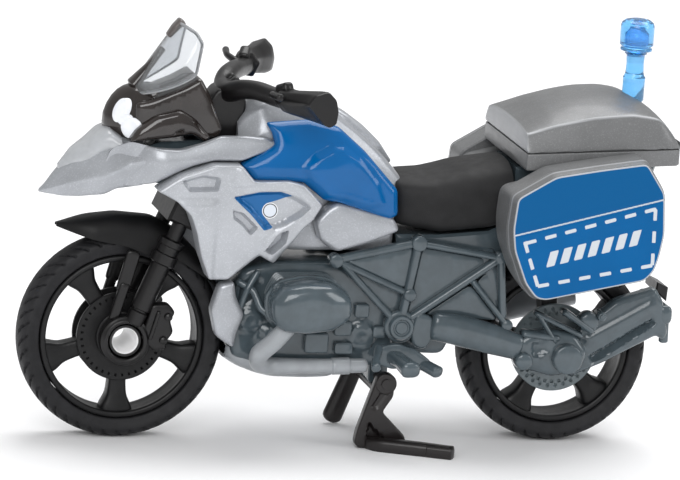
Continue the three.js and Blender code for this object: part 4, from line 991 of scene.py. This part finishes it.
# ---- tank and side panels ----
sideLow = 4.75
tank = dict(
    top=[(12.9, 34.6), (12.3, 35.6), (10.4, 37.3), (8.0, 37.5), (5.6, 37.5), (3.4, 36.8), (1.2, 35.3),
         (-0.9, 33.7), (-2.4, 32.4), (-4.0, 30.7), (-5.5, 29.0)],
    half=[(13, 3.4), (10.5, 4.4), (5, 4.6), (0, 4.4), (-5.5, 3.7)],
    core=[(11.5, 31.2), (-4.6, 27.4), (-4.5, 21.2), (7.6, 21.2), (9.6, 24.0), (10.8, 28.0)],
    spine=[(3.0, 36.55), (1.2, 35.35), (-0.9, 33.75), (-2.6, 32.25), (-4.3, 30.5)],
    side=[(12.9, 30.7), (10.6, 32.0), (9.3, 32.9), (9.6, 34.0), (10.3, 35.1), (5.6, 35.5), (2.4, 34.8),
          (-0.4, 32.4), (-4.2, 28.3), (-4.4, 25.6), (-3.5, 25.1), (2.2, 26.9), (3.8, 27.1), (6.2, 29.0),
          (11.5, 29.1)],
    knee=[(6.7, 30.7), (5.2, 32.2), (3.3, 33.2), (1.9, 33.2), (0.2, 31.8), (-2.0, 29.2), (-3.0, 26.6),
          (-1.0, 26.4), (1.8, 27.2), (3.6, 27.4), (5.6, 29.0)],
)


def tankTop(t):
    # Saddle loft along X: a nearly flat crown, a bevel, then steep sides that end behind the blue panels.
    x = np.concatenate([[12.75], np.linspace(12.5, -5.3, 46)])
    top, half = curve(t["top"], x), curve(t["half"], x)
    shape = np.array([(0, 0), (0.25, -0.06), (0.5, -0.2), (0.66, -0.36), (0.74, -0.62), (0.80, -1.3),
                      (0.92, -2.4), (1.0, -3.4), (1.0, -5.2), (0.5, -5.3), (0, -5.3)])
    shape = np.vstack([shape, shape[-2:0:-1] * [-1, 1]])
    fine = rounded(shape, 96, 2)
    rows = np.stack([np.repeat(x[:, None], 96, 1), half[:, None] * fine[None, :, 0],
                     top[:, None] + fine[None, :, 1]], -1)
    return grid(capped(rows))


shells = [tankTop(tank), bothSides(tank["core"], 4.3, 0.5, 3, 0.8)]
# slim spine cover along the back of the tank
shells.append(rod([(x, 0, z - 0.28) for x, z in tank["spine"]], [0.4, 0.7, 0.8, 0.75, 0.4], 2.6, 3.0, 26, 24,
                  0.4))
piece("tank_shell", shells, "silver", "chassis", ["tank"], 30)


def tankSideTilt(x, z):
    # The panel leans in towards the top and towards the seat.
    return -0.14 * np.maximum(z - 30.5, 0) ** 1.45 - 0.10 * np.maximum(-1.5 - x, 0) - 0.25 * smooth(x, 9, 13)


def kneeRelief(p):
    d = -distanceTo(tank["knee"], p)
    crease = (p[:, 0] - 1.3) + (p[:, 1] - 31.6) * 0.9
    return 0.42 * smooth(d, -0.1, 0.75) + 0.14 * np.tanh(crease * 0.9) * smooth(d, 0.1, 1.1)


shroud = dict(
    outline=[(22.0, 28.0), (20.6, 29.0), (19.5, 29.7), (16, 30.9), (13.1, 30.9), (11.6, 29.2), (7.9, 29.3),
             (6.2, 28.9), (4.2, 26.8), (5.2, 25.1), (6.2, 24.2), (7.3, 22.6), (9.0, 20.3), (10.6, 21.2),
             (13.8, 18.5), (15.9, 18.5), (17, 21.2), (17.6, 23.6), (18.3, 25.4), (19.8, 26.9)],
    recess=[(19.6, 29.2), (17.2, 29.9), (15.3, 29.6), (15.5, 28.1), (18.7, 28.0)],
    field=[(14.1, 27.6), (11.2, 28.2), (8.8, 28.3), (7.1, 27.7), (5.3, 26.7), (6.4, 25.6), (7.9, 24.7),
           (9.2, 24.1), (10.4, 24.2), (12.0, 26.0)],
    slot=[(13.9, 26.2), (12.7, 25.9), (11.0, 24.3), (11.8, 23.4), (12.9, 24.6), (13.8, 25.2)],
    window=[(8.9, 23.7), (7.7, 24.2), (7.9, 22.7), (9.3, 21.3), (10.2, 21.7)],
    patch=[(13.9, 27.5), (11.0, 28.1), (8.9, 28.2), (7.4, 27.8), (9.0, 27.2), (10.3, 26.8), (10.5, 25.6),
           (9.4, 24.3), (10.4, 24.0), (11.9, 25.7)],
    ridge=[(13.6, 31), (4, 31), (3.0, 26.4), (9.6, 20), (10.6, 22.9), (6.0, 26.6), (8.2, 28.9), (14.6, 28.3)],
    roundel=(9.75, 26.05), radius=0.86)


def shroudRelief(p):
    s = shroud
    ridge = 0.35 * smooth(-distanceTo(s["ridge"], p), 0, 0.5)
    front = 0.25 * smooth(p[:, 0] - 15.2, 0, 0.8) * smooth(27.4 - p[:, 1], 0, 0.8)
    lower = -0.5 * smooth(24.6 - p[:, 1], 0, 5) + front
    return (ridge * 0.6 + lower + pit(p, s["recess"], 0.75, 0.4) + pit(p, s["field"], 0.6, 0.5)
            + pit(p, s["slot"], 0.8, 0.3) + pit(p, s["window"], 1.3, 0.4))


def shroudPaint(v):
    flat = v[:, [0, 2]]
    off = flat - np.array(shroud["roundel"])
    gap = np.hypot(off[:, 0], off[:, 1])
    out = np.where(np.abs(v[:, 1]) < sideLow + 1.2, 9.0, 0.0)
    r = shroud["radius"]
    return dict(patch=distanceTo(shroud["patch"], flat) + out, ringOuter=gap - r + out,
                ringDark=gap - r * 0.9 + out, ringInner=gap - r * 0.78 + out)


for side, sign in sides.items():
    shell = panel(tank["side"], 7.0, sideLow, 0.8, soft=3, spacing=0.27, relief=kneeRelief, tilt=tankSideTilt,
                  creases=[(tank["knee"], 0.75)])
    piece(f"tank_side_{side}_shell", [mirrored(shell, sign)], "blue", "chassis",
          [f"tank_side_{side}"], 50)
    shell = panel(shroud["outline"], 7.55, sideLow, 0.35, soft=2, spacing=0.26, relief=shroudRelief,
                  creases=[(shroud["recess"], 0.4), (shroud["field"], 0.5), (shroud["slot"], 0.3),
                           (shroud["window"], 0.4)])
    piece(f"side_shroud_{side}_shell", [mirrored(shell, sign)], "shroud", "chassis",
          [f"side_shroud_{side}"], 40, shroudPaint)
    shell = panel([(4.6, 24.8), (3.4, 26.2), (2.3, 26.9), (-3.9, 25.3), (-4.7, 23.9), (-1.5, 22.6),
                   (2.1, 21.5), (3.9, 22.6)], 6.5, sideLow, 0.45, dome=0.25, soft=3, spacing=0.4)
    piece(f"rear_side_panel_{side}_shell", [mirrored(shell, sign)], "silver", "chassis",
          [f"rear_side_panel_{side}"])

beak = dict(
    top=[(33.3, 26.6), (32.7, 27.2), (31.8, 28.5), (30.1, 30.4), (28.4, 31.6), (26.6, 32.7), (25.4, 33.0),
         (22.0, 33.0)],
    edge=[(33.3, 26.5), (32.2, 26.9), (29.7, 28.0), (26.9, 28.9), (24.5, 30.4), (22.0, 31.3)],
    low=[(33.3, 26.3), (31.0, 26.1), (29.5, 26.2), (26.9, 26.6), (25.5, 27.4), (22.9, 27.9), (22, 28.2)],
    half=[(33.3, 0.25), (32.6, 0.75), (31.2, 1.6), (29.5, 2.6), (27.4, 3.7), (25.2, 4.7), (22.5, 5.6)])


def beakShell(b):
    # Faceted nose: crown to a crease at the widest line, then in to the keel; all four follow X.
    x = np.linspace(33.25, 23.0, 40)
    top, edge, low, half = (curve(b[k], x) for k in ("top", "edge", "low", "half"))
    step = lambda y, z: np.stack([x, y, z], -1)
    profile = [step(0 * x, top), step(half * 0.3, top - 0.04), step(half * 0.62, top * 0.72 + edge * 0.28),
             step(half, edge), step(half * 0.92, edge * 0.72 + low * 0.28), step(half * 0.74, low),
               step(half * 0.35, low + 0.25),
             step(0 * x, low + 0.3)]
    left = np.stack(profile, 1)
    right = left[:, -2:0:-1] * np.array([1, -1, 1])
    rows = np.concatenate([left, right], 1)
    rows = np.stack([rounded(r, 84, 1) for r in rows])
    return grid(capped(rows))


def browShell():
    # Clear-looking hump over the beak in front of the lamp, with a ridge across its top.
    x = np.linspace(31.4, 25.2, 24)
    top = curve([(31.4, 29.4), (30.1, 31.1), (28.6, 32.2), (27.2, 33.4), (26.4, 33.7), (25.2, 33.0)], x)
    half = curve([(31.4, 0.5), (29.5, 1.7), (27.5, 2.7), (25.2, 3.4)], x)
    section = oval(36, 2.6)
    rows = np.stack([np.repeat(x[:, None], 36, 1), half[:, None] * section[None, :, 0],
                     top[:, None] - 1.4 + 1.4 * section[None, :, 1]], -1)
    return grid(capped(rows))


piece("beak_brow", [browShell()], "frost", "chassis")
piece("beak_shell", [beakShell(beak)], "silver", "chassis", ["beak"], 24)
wing = dict(outline=[(26.4, 31.6), (24.4, 32.7), (22.0, 32.2), (19.4, 32.1), (17.0, 32.8), (15.0, 33.6),
                     (12.0, 33.6), (10.2, 33.45), (8.9, 33.0), (8.8, 32.6), (11.0, 31.8), (12.8, 31.1),
                     (15.8, 31.1), (18.0, 30.5), (19.4, 29.9), (22.1, 28.5), (24.3, 27.9), (26.6, 28.2),
                     (27.2, 29.6)], face=6.0, back=4.75)


def wingBack(p, depth):
    # The hidden face is level, then steps in smoothly along x towards the nose.
    return wing["back"] - 1.6 * smooth(p[:, 0], 23.2, 26.4) + 0 * depth


def wingTilt(x, z):
    # The face falls by a smooth step along x towards the nose, and in proportion to height above 31.2.
    return -3.4 * smooth(x, 21.0, 27.0) - 0.28 * np.maximum(z - 31.2, 0)


for side, sign in sides.items():
    shell = panel(wing["outline"], wing["face"], wingBack, 0.25, dome=0.2, soft=3, spacing=0.36,
                  tilt=wingTilt)
    piece(f"fairing_wing_{side}_shell", [mirrored(shell, sign)], "silver", "chassis",
          [f"fairing_wing_{side}"], 40)
print("panels ready")


# ---- lamp, cockpit, screen ----
lamp = dict(front=27.0, half=3.5)


def lampFace(y, z):
    # Nose of the housing: falls back with the square of the distance from the middle, with the power
    # 1.6 of the height above 34.4, and in a straight line below 34.
    sideways = 0.178 * (np.abs(y) + 0.6) ** 2
    upwards = 0.16 * np.maximum(z - 34.4, 0) ** 1.6
    return lamp["front"] - sideways - upwards - 0.10 * np.maximum(34.0 - z, 0)


def housingShell():
    z = np.array([32.6, 32.7, 33.2, 34.0, 35.0, 36.0, 36.8, 37.4, 37.8, 38.0])
    size = np.array([0.7, 0.86, 0.96, 1, 1, 0.97, 0.9, 0.78, 0.6, 0.4])
    section = oval(60, 2.7)
    rows = []
    for height, scale in zip(z, size):
        y = section[:, 1] * lamp["half"] * scale
        nose = lampFace(y, np.full(60, height)) - (1 - scale) * 2.2
        front = 0.5 * (section[:, 0] + 1)
        rows.append(np.stack([21.0 + (nose - 21.0) * front, y, np.full(60, height)], 1))
    return grid(capped(rows))


def eye(middleY, middleZ, wide, high, lift=0.1):
    # Domed disc laid on the housing's nose.
    t = np.linspace(0, 2 * np.pi, 40, endpoint=False)
    rows = []
    for radius, rise in ((1.0, -0.4), (1.0, 0.5 * lift), (0.93, lift), (0.7, lift * 1.5), (0.35, lift * 1.9),
                         (0.02, lift * 2)):
        y = middleY + wide * radius * np.cos(t)
        z = middleZ + high * radius * np.sin(t)
        rows.append(np.stack([lampFace(y, z) + rise, y, z], 1))
    return grid(capped(rows))


piece("headlight_housing_shell", [housingShell()], "smoke", "chassis", ["headlight_housing"],
      50)
piece("headlight_lens_pair", [eye(sign * y, z, wide, high, lift) for sign in (1, -1)
                              for y, z, wide, high, lift in (
    (3.1, 33.9, 0.62, 1.1, 0.1), (2.1, 35.6, 0.6, 1.3, 0.1), (2.6, 34.7, 0.5, 0.6, 0.07))],
      "white", "chassis", ["headlight_lens"], 60)

cockpit = dict(outline=[(24.0, 33.0), (24.0, 36.6), (22.7, 36.9), (18.9, 38.5), (17.2, 39.5), (16.2, 37.8),
                        (14.6, 34.0), (15.2, 33.0), (17.6, 33.5), (20.6, 32.9)],
               arch=[(24.7, 32.6), (24.0, 34.0), (21.9, 35.6), (19.4, 36.2), (17.7, 35.2), (15.9, 33.2),
                     (16.6, 32.7), (18.0, 33.6), (19.6, 33.2), (22.0, 32.9)])


def cockpitSide(sign):
    lean = lambda x, z: -0.05 * np.maximum(z - 35.4, 0) - 0.5 * smooth(x, 21.5, 24.2)
    side = panel(cockpit["outline"], 3.95, 0.4, 0.5, soft=2, spacing=0.4, tilt=lean)
    arch = panel(cockpit["arch"], 4.7, 3.0, 0.6, dome=0.35, soft=4, spacing=0.3,
                 relief=lambda p: pit(p, [(20.6, 33.6), (19.0, 34.4), (18.6, 33.6)], 0.4, 0.4))
    return [mirrored(side, sign), mirrored(arch, sign)]


piece("cockpit_shell", cockpitSide(1) + cockpitSide(-1), "smoke", "chassis", ["cockpit"], 36)

screen = dict(nose=(24.4, 37.3), lean=0.70, half=4.6, depth=6.2, taper=0.088, wall=0.42, low=37.2, high=44.7,
              bead=0.15)


def screenPoint(s, a, v, inset):
    # Half-oval in plan, leaned back and growing shallower with height; its lower edge climbs towards
    # the sides and its top corners are rounded. a runs side to side, v from the foot to the top.
    low = s["low"] + 2.7 * np.abs(a) ** 2.2
    high = s["high"] - 0.9 * np.abs(a) ** 2.6 - 0.5 * smooth(np.abs(a), 0.75, 1)
    z = low + (high - low) * v
    turn = a * np.pi / 2 * 0.97
    shallow = 1 - s["taper"] * (z - s["nose"][1])
    narrow = 1 - 0.10 * smooth(z, 40, 45)
    back = ((s["depth"] - inset) * np.cos(turn) - s["depth"]) * shallow
    x = s["nose"][0] + back - s["lean"] * (z - s["nose"][1])
    return np.stack([x, (s["half"] - inset) * np.sin(turn) * narrow, z], -1)


def screenShell(s):
    # Outer face and the same face moved inwards, folded together along the top and the foot.
    a, v = np.meshgrid(np.linspace(-1, 1, 49), np.linspace(0, 1, 19))
    outer, inner = screenPoint(s, a, v, 0), screenPoint(s, a, v, s["wall"])
    loops = np.concatenate([outer, inner[:, ::-1]], 1)
    n = a.shape[1]
    fold = lambda r: np.concatenate([(r[:n] + r[n:][::-1]) / 2, ((r[:n] + r[n:][::-1]) / 2)[::-1]])
    return grid(np.concatenate([fold(loops[0])[None], loops, fold(loops[-1])[None]]))


def screenRim(s):
    # Bead carried round the free edge of the screen.
    a = np.concatenate([np.linspace(-1, 1, 60), np.ones(18), np.linspace(1, -1, 60), -np.ones(18)])
    v = np.concatenate([np.zeros(60), np.linspace(0, 1, 18), np.ones(60), np.linspace(1, 0, 18)])
    path = rounded(screenPoint(s, a, v, s["wall"] / 2), 150, 2)
    tangent = np.roll(path, -1, 0) - np.roll(path, 1, 0)
    tangent /= np.linalg.norm(tangent, axis=1)[:, None]
    side = np.cross(tangent, path - path.mean(0))
    side /= np.linalg.norm(side, axis=1)[:, None]
    rise = np.cross(side, tangent)
    section = oval(14)
    wide = section[None, :, :1] * side[:, None]
    thick = section[None, :, 1:] * rise[:, None] * 1.3
    return grid(path[:, None] + s["bead"] * (wide + thick), True)


piece("windscreen_shell", [screenShell(screen)], "clear", "chassis", ["windscreen"], 60)
clipPath = [(23.7, 0, 38.0), (22.2, 0, 39.9), (20.7, 0, 41.8)]
piece("windscreen_rim", [screenRim(screen)], "rimClear", "chassis")
piece("screen_brace", [rod(clipPath, [0.75, 0.45, 0.3], 1.5, 2.6, 18, 20)], "smoke", "chassis")
piece("screen_clip_shell", [rod([(20.2, 0, 43.3), (19.5, 0, 44.2), (18.9, 0, 44.8)], [0.36, 0.46, 0.5], 1.7,
                                3.0, 16, 28)],
      "clip", "chassis", ["screen_clip"])
print("front ready")


# ---- seat ----
seat = dict(top=[(-4.6, 28.9), (-5.8, 29.15), (-8.5, 29.35), (-10.5, 29.8), (-12.2, 30.3), (-14.0, 30.6),
                 (-16.0, 30.9), (-17.2, 31.1)],
            shoulder=[(-4.6, 28.6), (-9.0, 28.6), (-12.2, 29.3), (-17.2, 29.6)],
            low=[(-4.6, 24.1), (-9.5, 23.4), (-14.9, 24.0), (-17.2, 24.9)],
            half=[(-4.6, 4.4), (-6.5, 5.2), (-10, 5.6), (-14, 5.8), (-17.2, 5.9)])


def seatShell(s):
    # Loft along X: crowned top, a soft shoulder crease, sides that tuck in to the lower edge.
    x = np.concatenate([[-4.62, -4.7, -4.9, -5.2], np.linspace(-5.6, -17.0, 40)])
    size = np.concatenate([[0.90, 0.95, 0.98, 0.995], np.ones(40)])
    top, shoulder, low, half = (curve(s[k], x) for k in ("top", "shoulder", "low", "half"))
    step = lambda y, z: np.stack([x, y, z], -1)
    left = np.stack([step(0 * x, top), step(half * 0.45, top - 0.12),
                     step(half * 0.78, top * 0.6 + shoulder * 0.4 - 0.1), step(half * 0.95, shoulder - 0.25),
                     step(half, shoulder - 1.3), step(half * 0.99, low + 1.6), step(half * 0.93, low + 0.4),
                     step(half * 0.8, low), step(0 * x, low)], 1)
    rows = np.concatenate([left, left[:, -2:0:-1] * np.array([1, -1, 1])], 1)
    rows = np.stack([rounded(r, 96, 5) for r in rows])
    middle = rows.mean(1, keepdims=True)
    return grid(capped(middle + (rows - middle) * size[:, None, None]))


piece("seat_pad", [seatShell(seat)], "seat", "chassis", ["seat"], 60)


# ---- cases and beacon ----
caseTop = dict(crown=[(-17.6, 35.6), (-20.5, 37.1), (-23.0, 37.9), (-25.6, 38.4), (-28.0, 38.5),
                      (-30.0, 38.2), (-32.2, 37.1), (-33.6, 35.6), (-34.9, 33.2)],
               crease=[(-17.6, 35.0), (-20.5, 35.9), (-24.7, 36.8), (-29.0, 37.2), (-32.1, 36.8),
                       (-33.5, 35.2), (-34.9, 33.0)], floor=33.0, half=9.1, creaseHalf=8.0)


def lidShell(c):
    # Crown across the middle, down to a sharp crease near each side, then a steep side wall.
    x = np.concatenate([[-17.25, -17.3, -17.42], np.linspace(-17.7, -34.1, 44), [-34.3, -34.42, -34.48]])
    crown, crease = curve(c["crown"], x), curve(c["crease"], x)
    floor = np.full_like(x, c["floor"]) + (-17.3 - x) * 0.045
    crown, crease = np.maximum(crown, floor + 0.3), np.maximum(crease, floor + 0.2)
    inset = np.concatenate([[0.5, 0.2, 0.06], np.zeros(44), [0.06, 0.2, 0.5]])
    t = np.linspace(0, 1, 14)
    rows = []
    for k in range(len(x)):
        w, h = c["creaseHalf"] - inset[k], c["half"] - inset[k]
        top, low = crown[k] - inset[k], floor[k] + inset[k]
        side = crease[k] - inset[k]
        arch = np.stack([w * t, top - (top - side) * t ** 2.4], 1)
        wall = np.stack([w + (h - w) * t[1:] ** 0.8, side - (side - low) * t[1:]], 1)
        half = np.vstack([arch, wall, [[h * 0.6, low], [0, low]]])
        loop = np.vstack([half, half[-2:0:-1] * [-1, 1]])
        loop = rounded(loop, 150, 1)
        rows.append(np.stack([np.full(150, x[k]), loop[:, 0], loop[:, 1]], 1))
    return grid(capped(rows))


def lidPaint(v):
    # Painted highlight: a lighter band along the side creases and the front edge of the lid.
    x = v[:, 0]
    crease = curve(caseTop["crease"], x)
    gap = np.abs(np.hypot(np.abs(v[:, 1]) - caseTop["creaseHalf"], v[:, 2] - crease))
    front = np.abs(x + 17.3) + 0.02
    return dict(wornEdge=np.minimum(gap, front) - 0.16)


piece("top_case_lid_shell", [lidShell(caseTop)], "case", "chassis", ["top_case_lid"], 28,
      lidPaint)
base = lofted([(x, w, lo, hi) for x, w, lo, hi in zip(
    (-17.3, -17.4, -17.6, -22, -28, -33.8, -34.1, -34.2), (8.6, 8.9, 9.0, 9.1, 9.1, 9.1, 8.9, 8.6),
    (31.3, 31.15, 31.1, 31.3, 31.6, 31.9, 32.0, 32.2), (32.96, 32.99, 33.0, 33.2, 33.47, 33.73, 33.74,
                                                        33.7))],
              oval(96, 22))
# the tray gets no painted edge highlight: its field stays above zero
piece("top_case_base_tray", [base], "case", "chassis", ["top_case_base"], 40,
      lambda v: dict(wornEdge=0 * v[:, 0] + 5))

pannier = dict(outline=[(-14.8, 29.4), (-19.0, 31.9), (-24.0, 32.75), (-29.2, 33.5),
                        (-31.4, 30.2), (-31.7, 25.6), (-31.3, 23.2), (-30.8, 21.5), (-29.8, 20.4),
                        (-24, 19.2), (-18.7, 18.1), (-17.6, 18.3), (-16.3, 19.9), (-14.8, 23.6),
                        (-14.5, 26.0)],
               seam=[(-14.3, 25.1), (-31.9, 29.6)], inner=6.7, shelf=9.4, outer=14.55)
marks = dict(corners=[(-16.2, 24.5), (-30.2, 28.4), (-30.3, 22.3), (-17.9, 19.9)], dash=1.25, gap=1.05,
             half=0.19, bars=dict(first=-19.3, last=-28.2, level=22.9, slope=-0.26, count=7, width=0.86,
                                  height=1.6, lean=0.22))


def bodyShell(p, sign):
    # Outline carried sideways: narrow under the shelf, full above it, a chamfer out to the lid rim.
    line = rounded(p["outline"], 160, 2)
    middle = line.mean(0)
    steps = [(p["shelf"], 0.9), (p["shelf"], 0.97), (p["shelf"] + 0.15, 0.99), (12.5, 1.0), (12.75, 1.0),
             (12.8, 0.985), (12.86, 0.985), (12.9, 1.0), (13.3, 0.995), (14.25, 0.972), (14.4, 0.968),
             (14.42, 0.9)]
    rows = [np.stack([middle[0] + (line[:, 0] - middle[0]) * k, np.full(160, sign * y),
                      middle[1] + (line[:, 1] - middle[1]) * k], 1) for y, k in steps]
    return grid(capped(rows))


def innerShell(p, sign):
    # The deeper part below the top case.
    line = rounded([(x, min(z, 30.4)) for x, z in p["outline"]], 100, 3)
    middle = line.mean(0)
    steps = [(p["inner"], 0.86), (p["inner"] + 0.1, 0.93), (p["inner"] + 0.4, 0.965),
             (p["shelf"] + 0.4, 0.97)]
    rows = [np.stack([middle[0] + (line[:, 0] - middle[0]) * k, np.full(100, sign * y),
                      middle[1] + (line[:, 1] - middle[1]) * k], 1) for y, k in steps]
    return grid(capped(rows))


def onFace(p):
    # Outline of the flat blue face inside the chamfer.
    line = rounded(p["outline"], 160, 2)
    middle = line.mean(0)
    return middle + (line - middle) * 0.962


def dashes(flat):
    # Least distance to any of the short bars set along the four edges of the border.
    best = np.full(len(flat), 9.0)
    corners = np.array(marks["corners"], float)
    for a, b in zip(corners, np.roll(corners, -1, 0)):
        length = np.linalg.norm(b - a)
        along = (b - a) / length
        off = flat - a
        s = off @ along
        d = np.abs(off @ np.array([-along[1], along[0]]))
        count = max(int(round((length + marks["gap"]) / (marks["dash"] + marks["gap"]))), 1)
        pitch = length / (count - 1 + marks["dash"] / (marks["dash"] + marks["gap"])) if count > 1 else length
        centre = np.clip(np.round((s - marks["dash"] / 2) / pitch), 0, count - 1) * pitch + marks["dash"] / 2
        best = np.minimum(best, np.maximum(np.abs(s - centre) - marks["dash"] / 2, d - marks["half"]))
    return best


def plainBars(flat):
    # A row of plain slanted blocks of one size, along a line that climbs towards the rear.
    bars = marks["bars"]
    slope = bars["slope"]
    best = np.full(len(flat), 9.0)
    for x in np.linspace(bars["first"], bars["last"], bars["count"]):
        rise = flat[:, 1] - bars["level"] - slope * (x - bars["first"])
        dx = np.abs(flat[:, 0] - x + bars["lean"] * rise) - bars["width"] / 2
        dz = np.abs(rise - slope * (flat[:, 0] - x)) - bars["height"] / 2
        best = np.minimum(best, np.maximum(dx, dz))
    return best


def lidFacePaint(v):
    flat = v[:, [0, 2]]
    inside = distanceTo(onFace(pannier), flat)
    (ax, az), (bx, bz) = pannier["seam"]
    rise = (flat[:, 1] - az) - (flat[:, 0] - ax) * (bz - az) / (bx - ax)
    deep = np.where(np.abs(v[:, 1]) < 14.3, 9.0, 0.0)
    marking = np.minimum(dashes(flat), plainBars(flat))
    marking = np.minimum(marking, np.abs(rise) - 0.09)
    return dict(upperBand=-rise + deep, marking=marking + deep, outside=-inside - deep,
                rimLine=np.abs(inside + 0.04) - 0.1 + deep)


def lidSheet(p, sign):
    # Flat face with a small rounded edge, finely netted so the printed marks stay crisp; a groove
    # follows the lid joint.
    (ax, az), (bx, bz) = p["seam"]

    def relief(q):
        rise = np.abs((q[:, 1] - az) - (q[:, 0] - ax) * (bz - az) / (bx - ax))
        return -0.12 * (1 - smooth(rise, 0.02, 0.22))

    return mirrored(panel(onFace(p), p["outer"], 14.0, 0.12, soft=0, spacing=0.17, relief=relief), sign)


for side, sign in sides.items():
    # painted highlight: a lighter band round the case near y = 13.35, at the chamfer towards the lid
    edgeHighlightBand = lambda v: dict(wornEdge=np.abs(np.abs(v[:, 1]) - 13.35) - 0.16)
    piece(f"pannier_{side}_shell", [bodyShell(pannier, sign), innerShell(pannier, sign)], "case", "chassis",
          [f"pannier_{side}"], 30, edgeHighlightBand)
    piece(f"pannier_lid_{side}_face", [lidSheet(pannier, sign)], "lid", "chassis",
          [f"pannier_lid_{side}"], 40, lidFacePaint)

light = dict(x=-31.1, foot=37.15, top=42.5)
mast = rounded([(0.01, light["foot"]), (1.0, light["foot"]), (1.18, light["foot"] + 0.2), (1.2, 39.2),
                (1.22, 39.4), (1.22, 39.8), (1.1, 39.95), (1.0, 40.3), (0.95, 41.2), (1.0, 42.2),
                (1.22, 42.4), (0.01, light["top"])], 90, 0, False)
headLine = [(0.01, 42.6), (1.35, 42.6), (1.7, 42.75), (1.72, 42.95), (1.62, 43.05), (1.62, 43.2),
            (1.82, 43.35), (1.84, 44.6), (1.82, 45.4), (1.7, 45.75), (1.35, 46.02), (0.8, 46.14),
            (0.01, 46.17)]
piece("light_mast_stem", [turned(mast, (light["x"], 0, 0), (0, 0, 1), 40)], "beacon", "chassis",
      ["light_mast"], 40)
core = [(0.01, 43.3), (0.85, 43.3), (0.95, 43.6), (0.9, 44.6), (0.6, 45.1), (0.01, 45.25)]
piece("beacon_lens", [turned(rounded(headLine, 90, 0, False), (light["x"], 0, 0), (0, 0, 1), 56)], "beacon",
      "chassis", ["beacon"], 40)
piece("beacon_core", [turned(core, (light["x"], 0, 0), (0, 0, 1), 32)], "beacon", "chassis")
print("luggage ready")


# ---- CAD nodes that stay, with their finishes ----
kept = dict(fork_crown="black", steering_stem="steel", rear_axle="steel", stand_pin="stand",
            tail_light="black", steering_head="grey", tail_frame="grey")
for name, look in kept.items():
    shown = frame["nodes"][name]
    shown.data.materials.clear()
    shown.data.materials.append(looks[look])
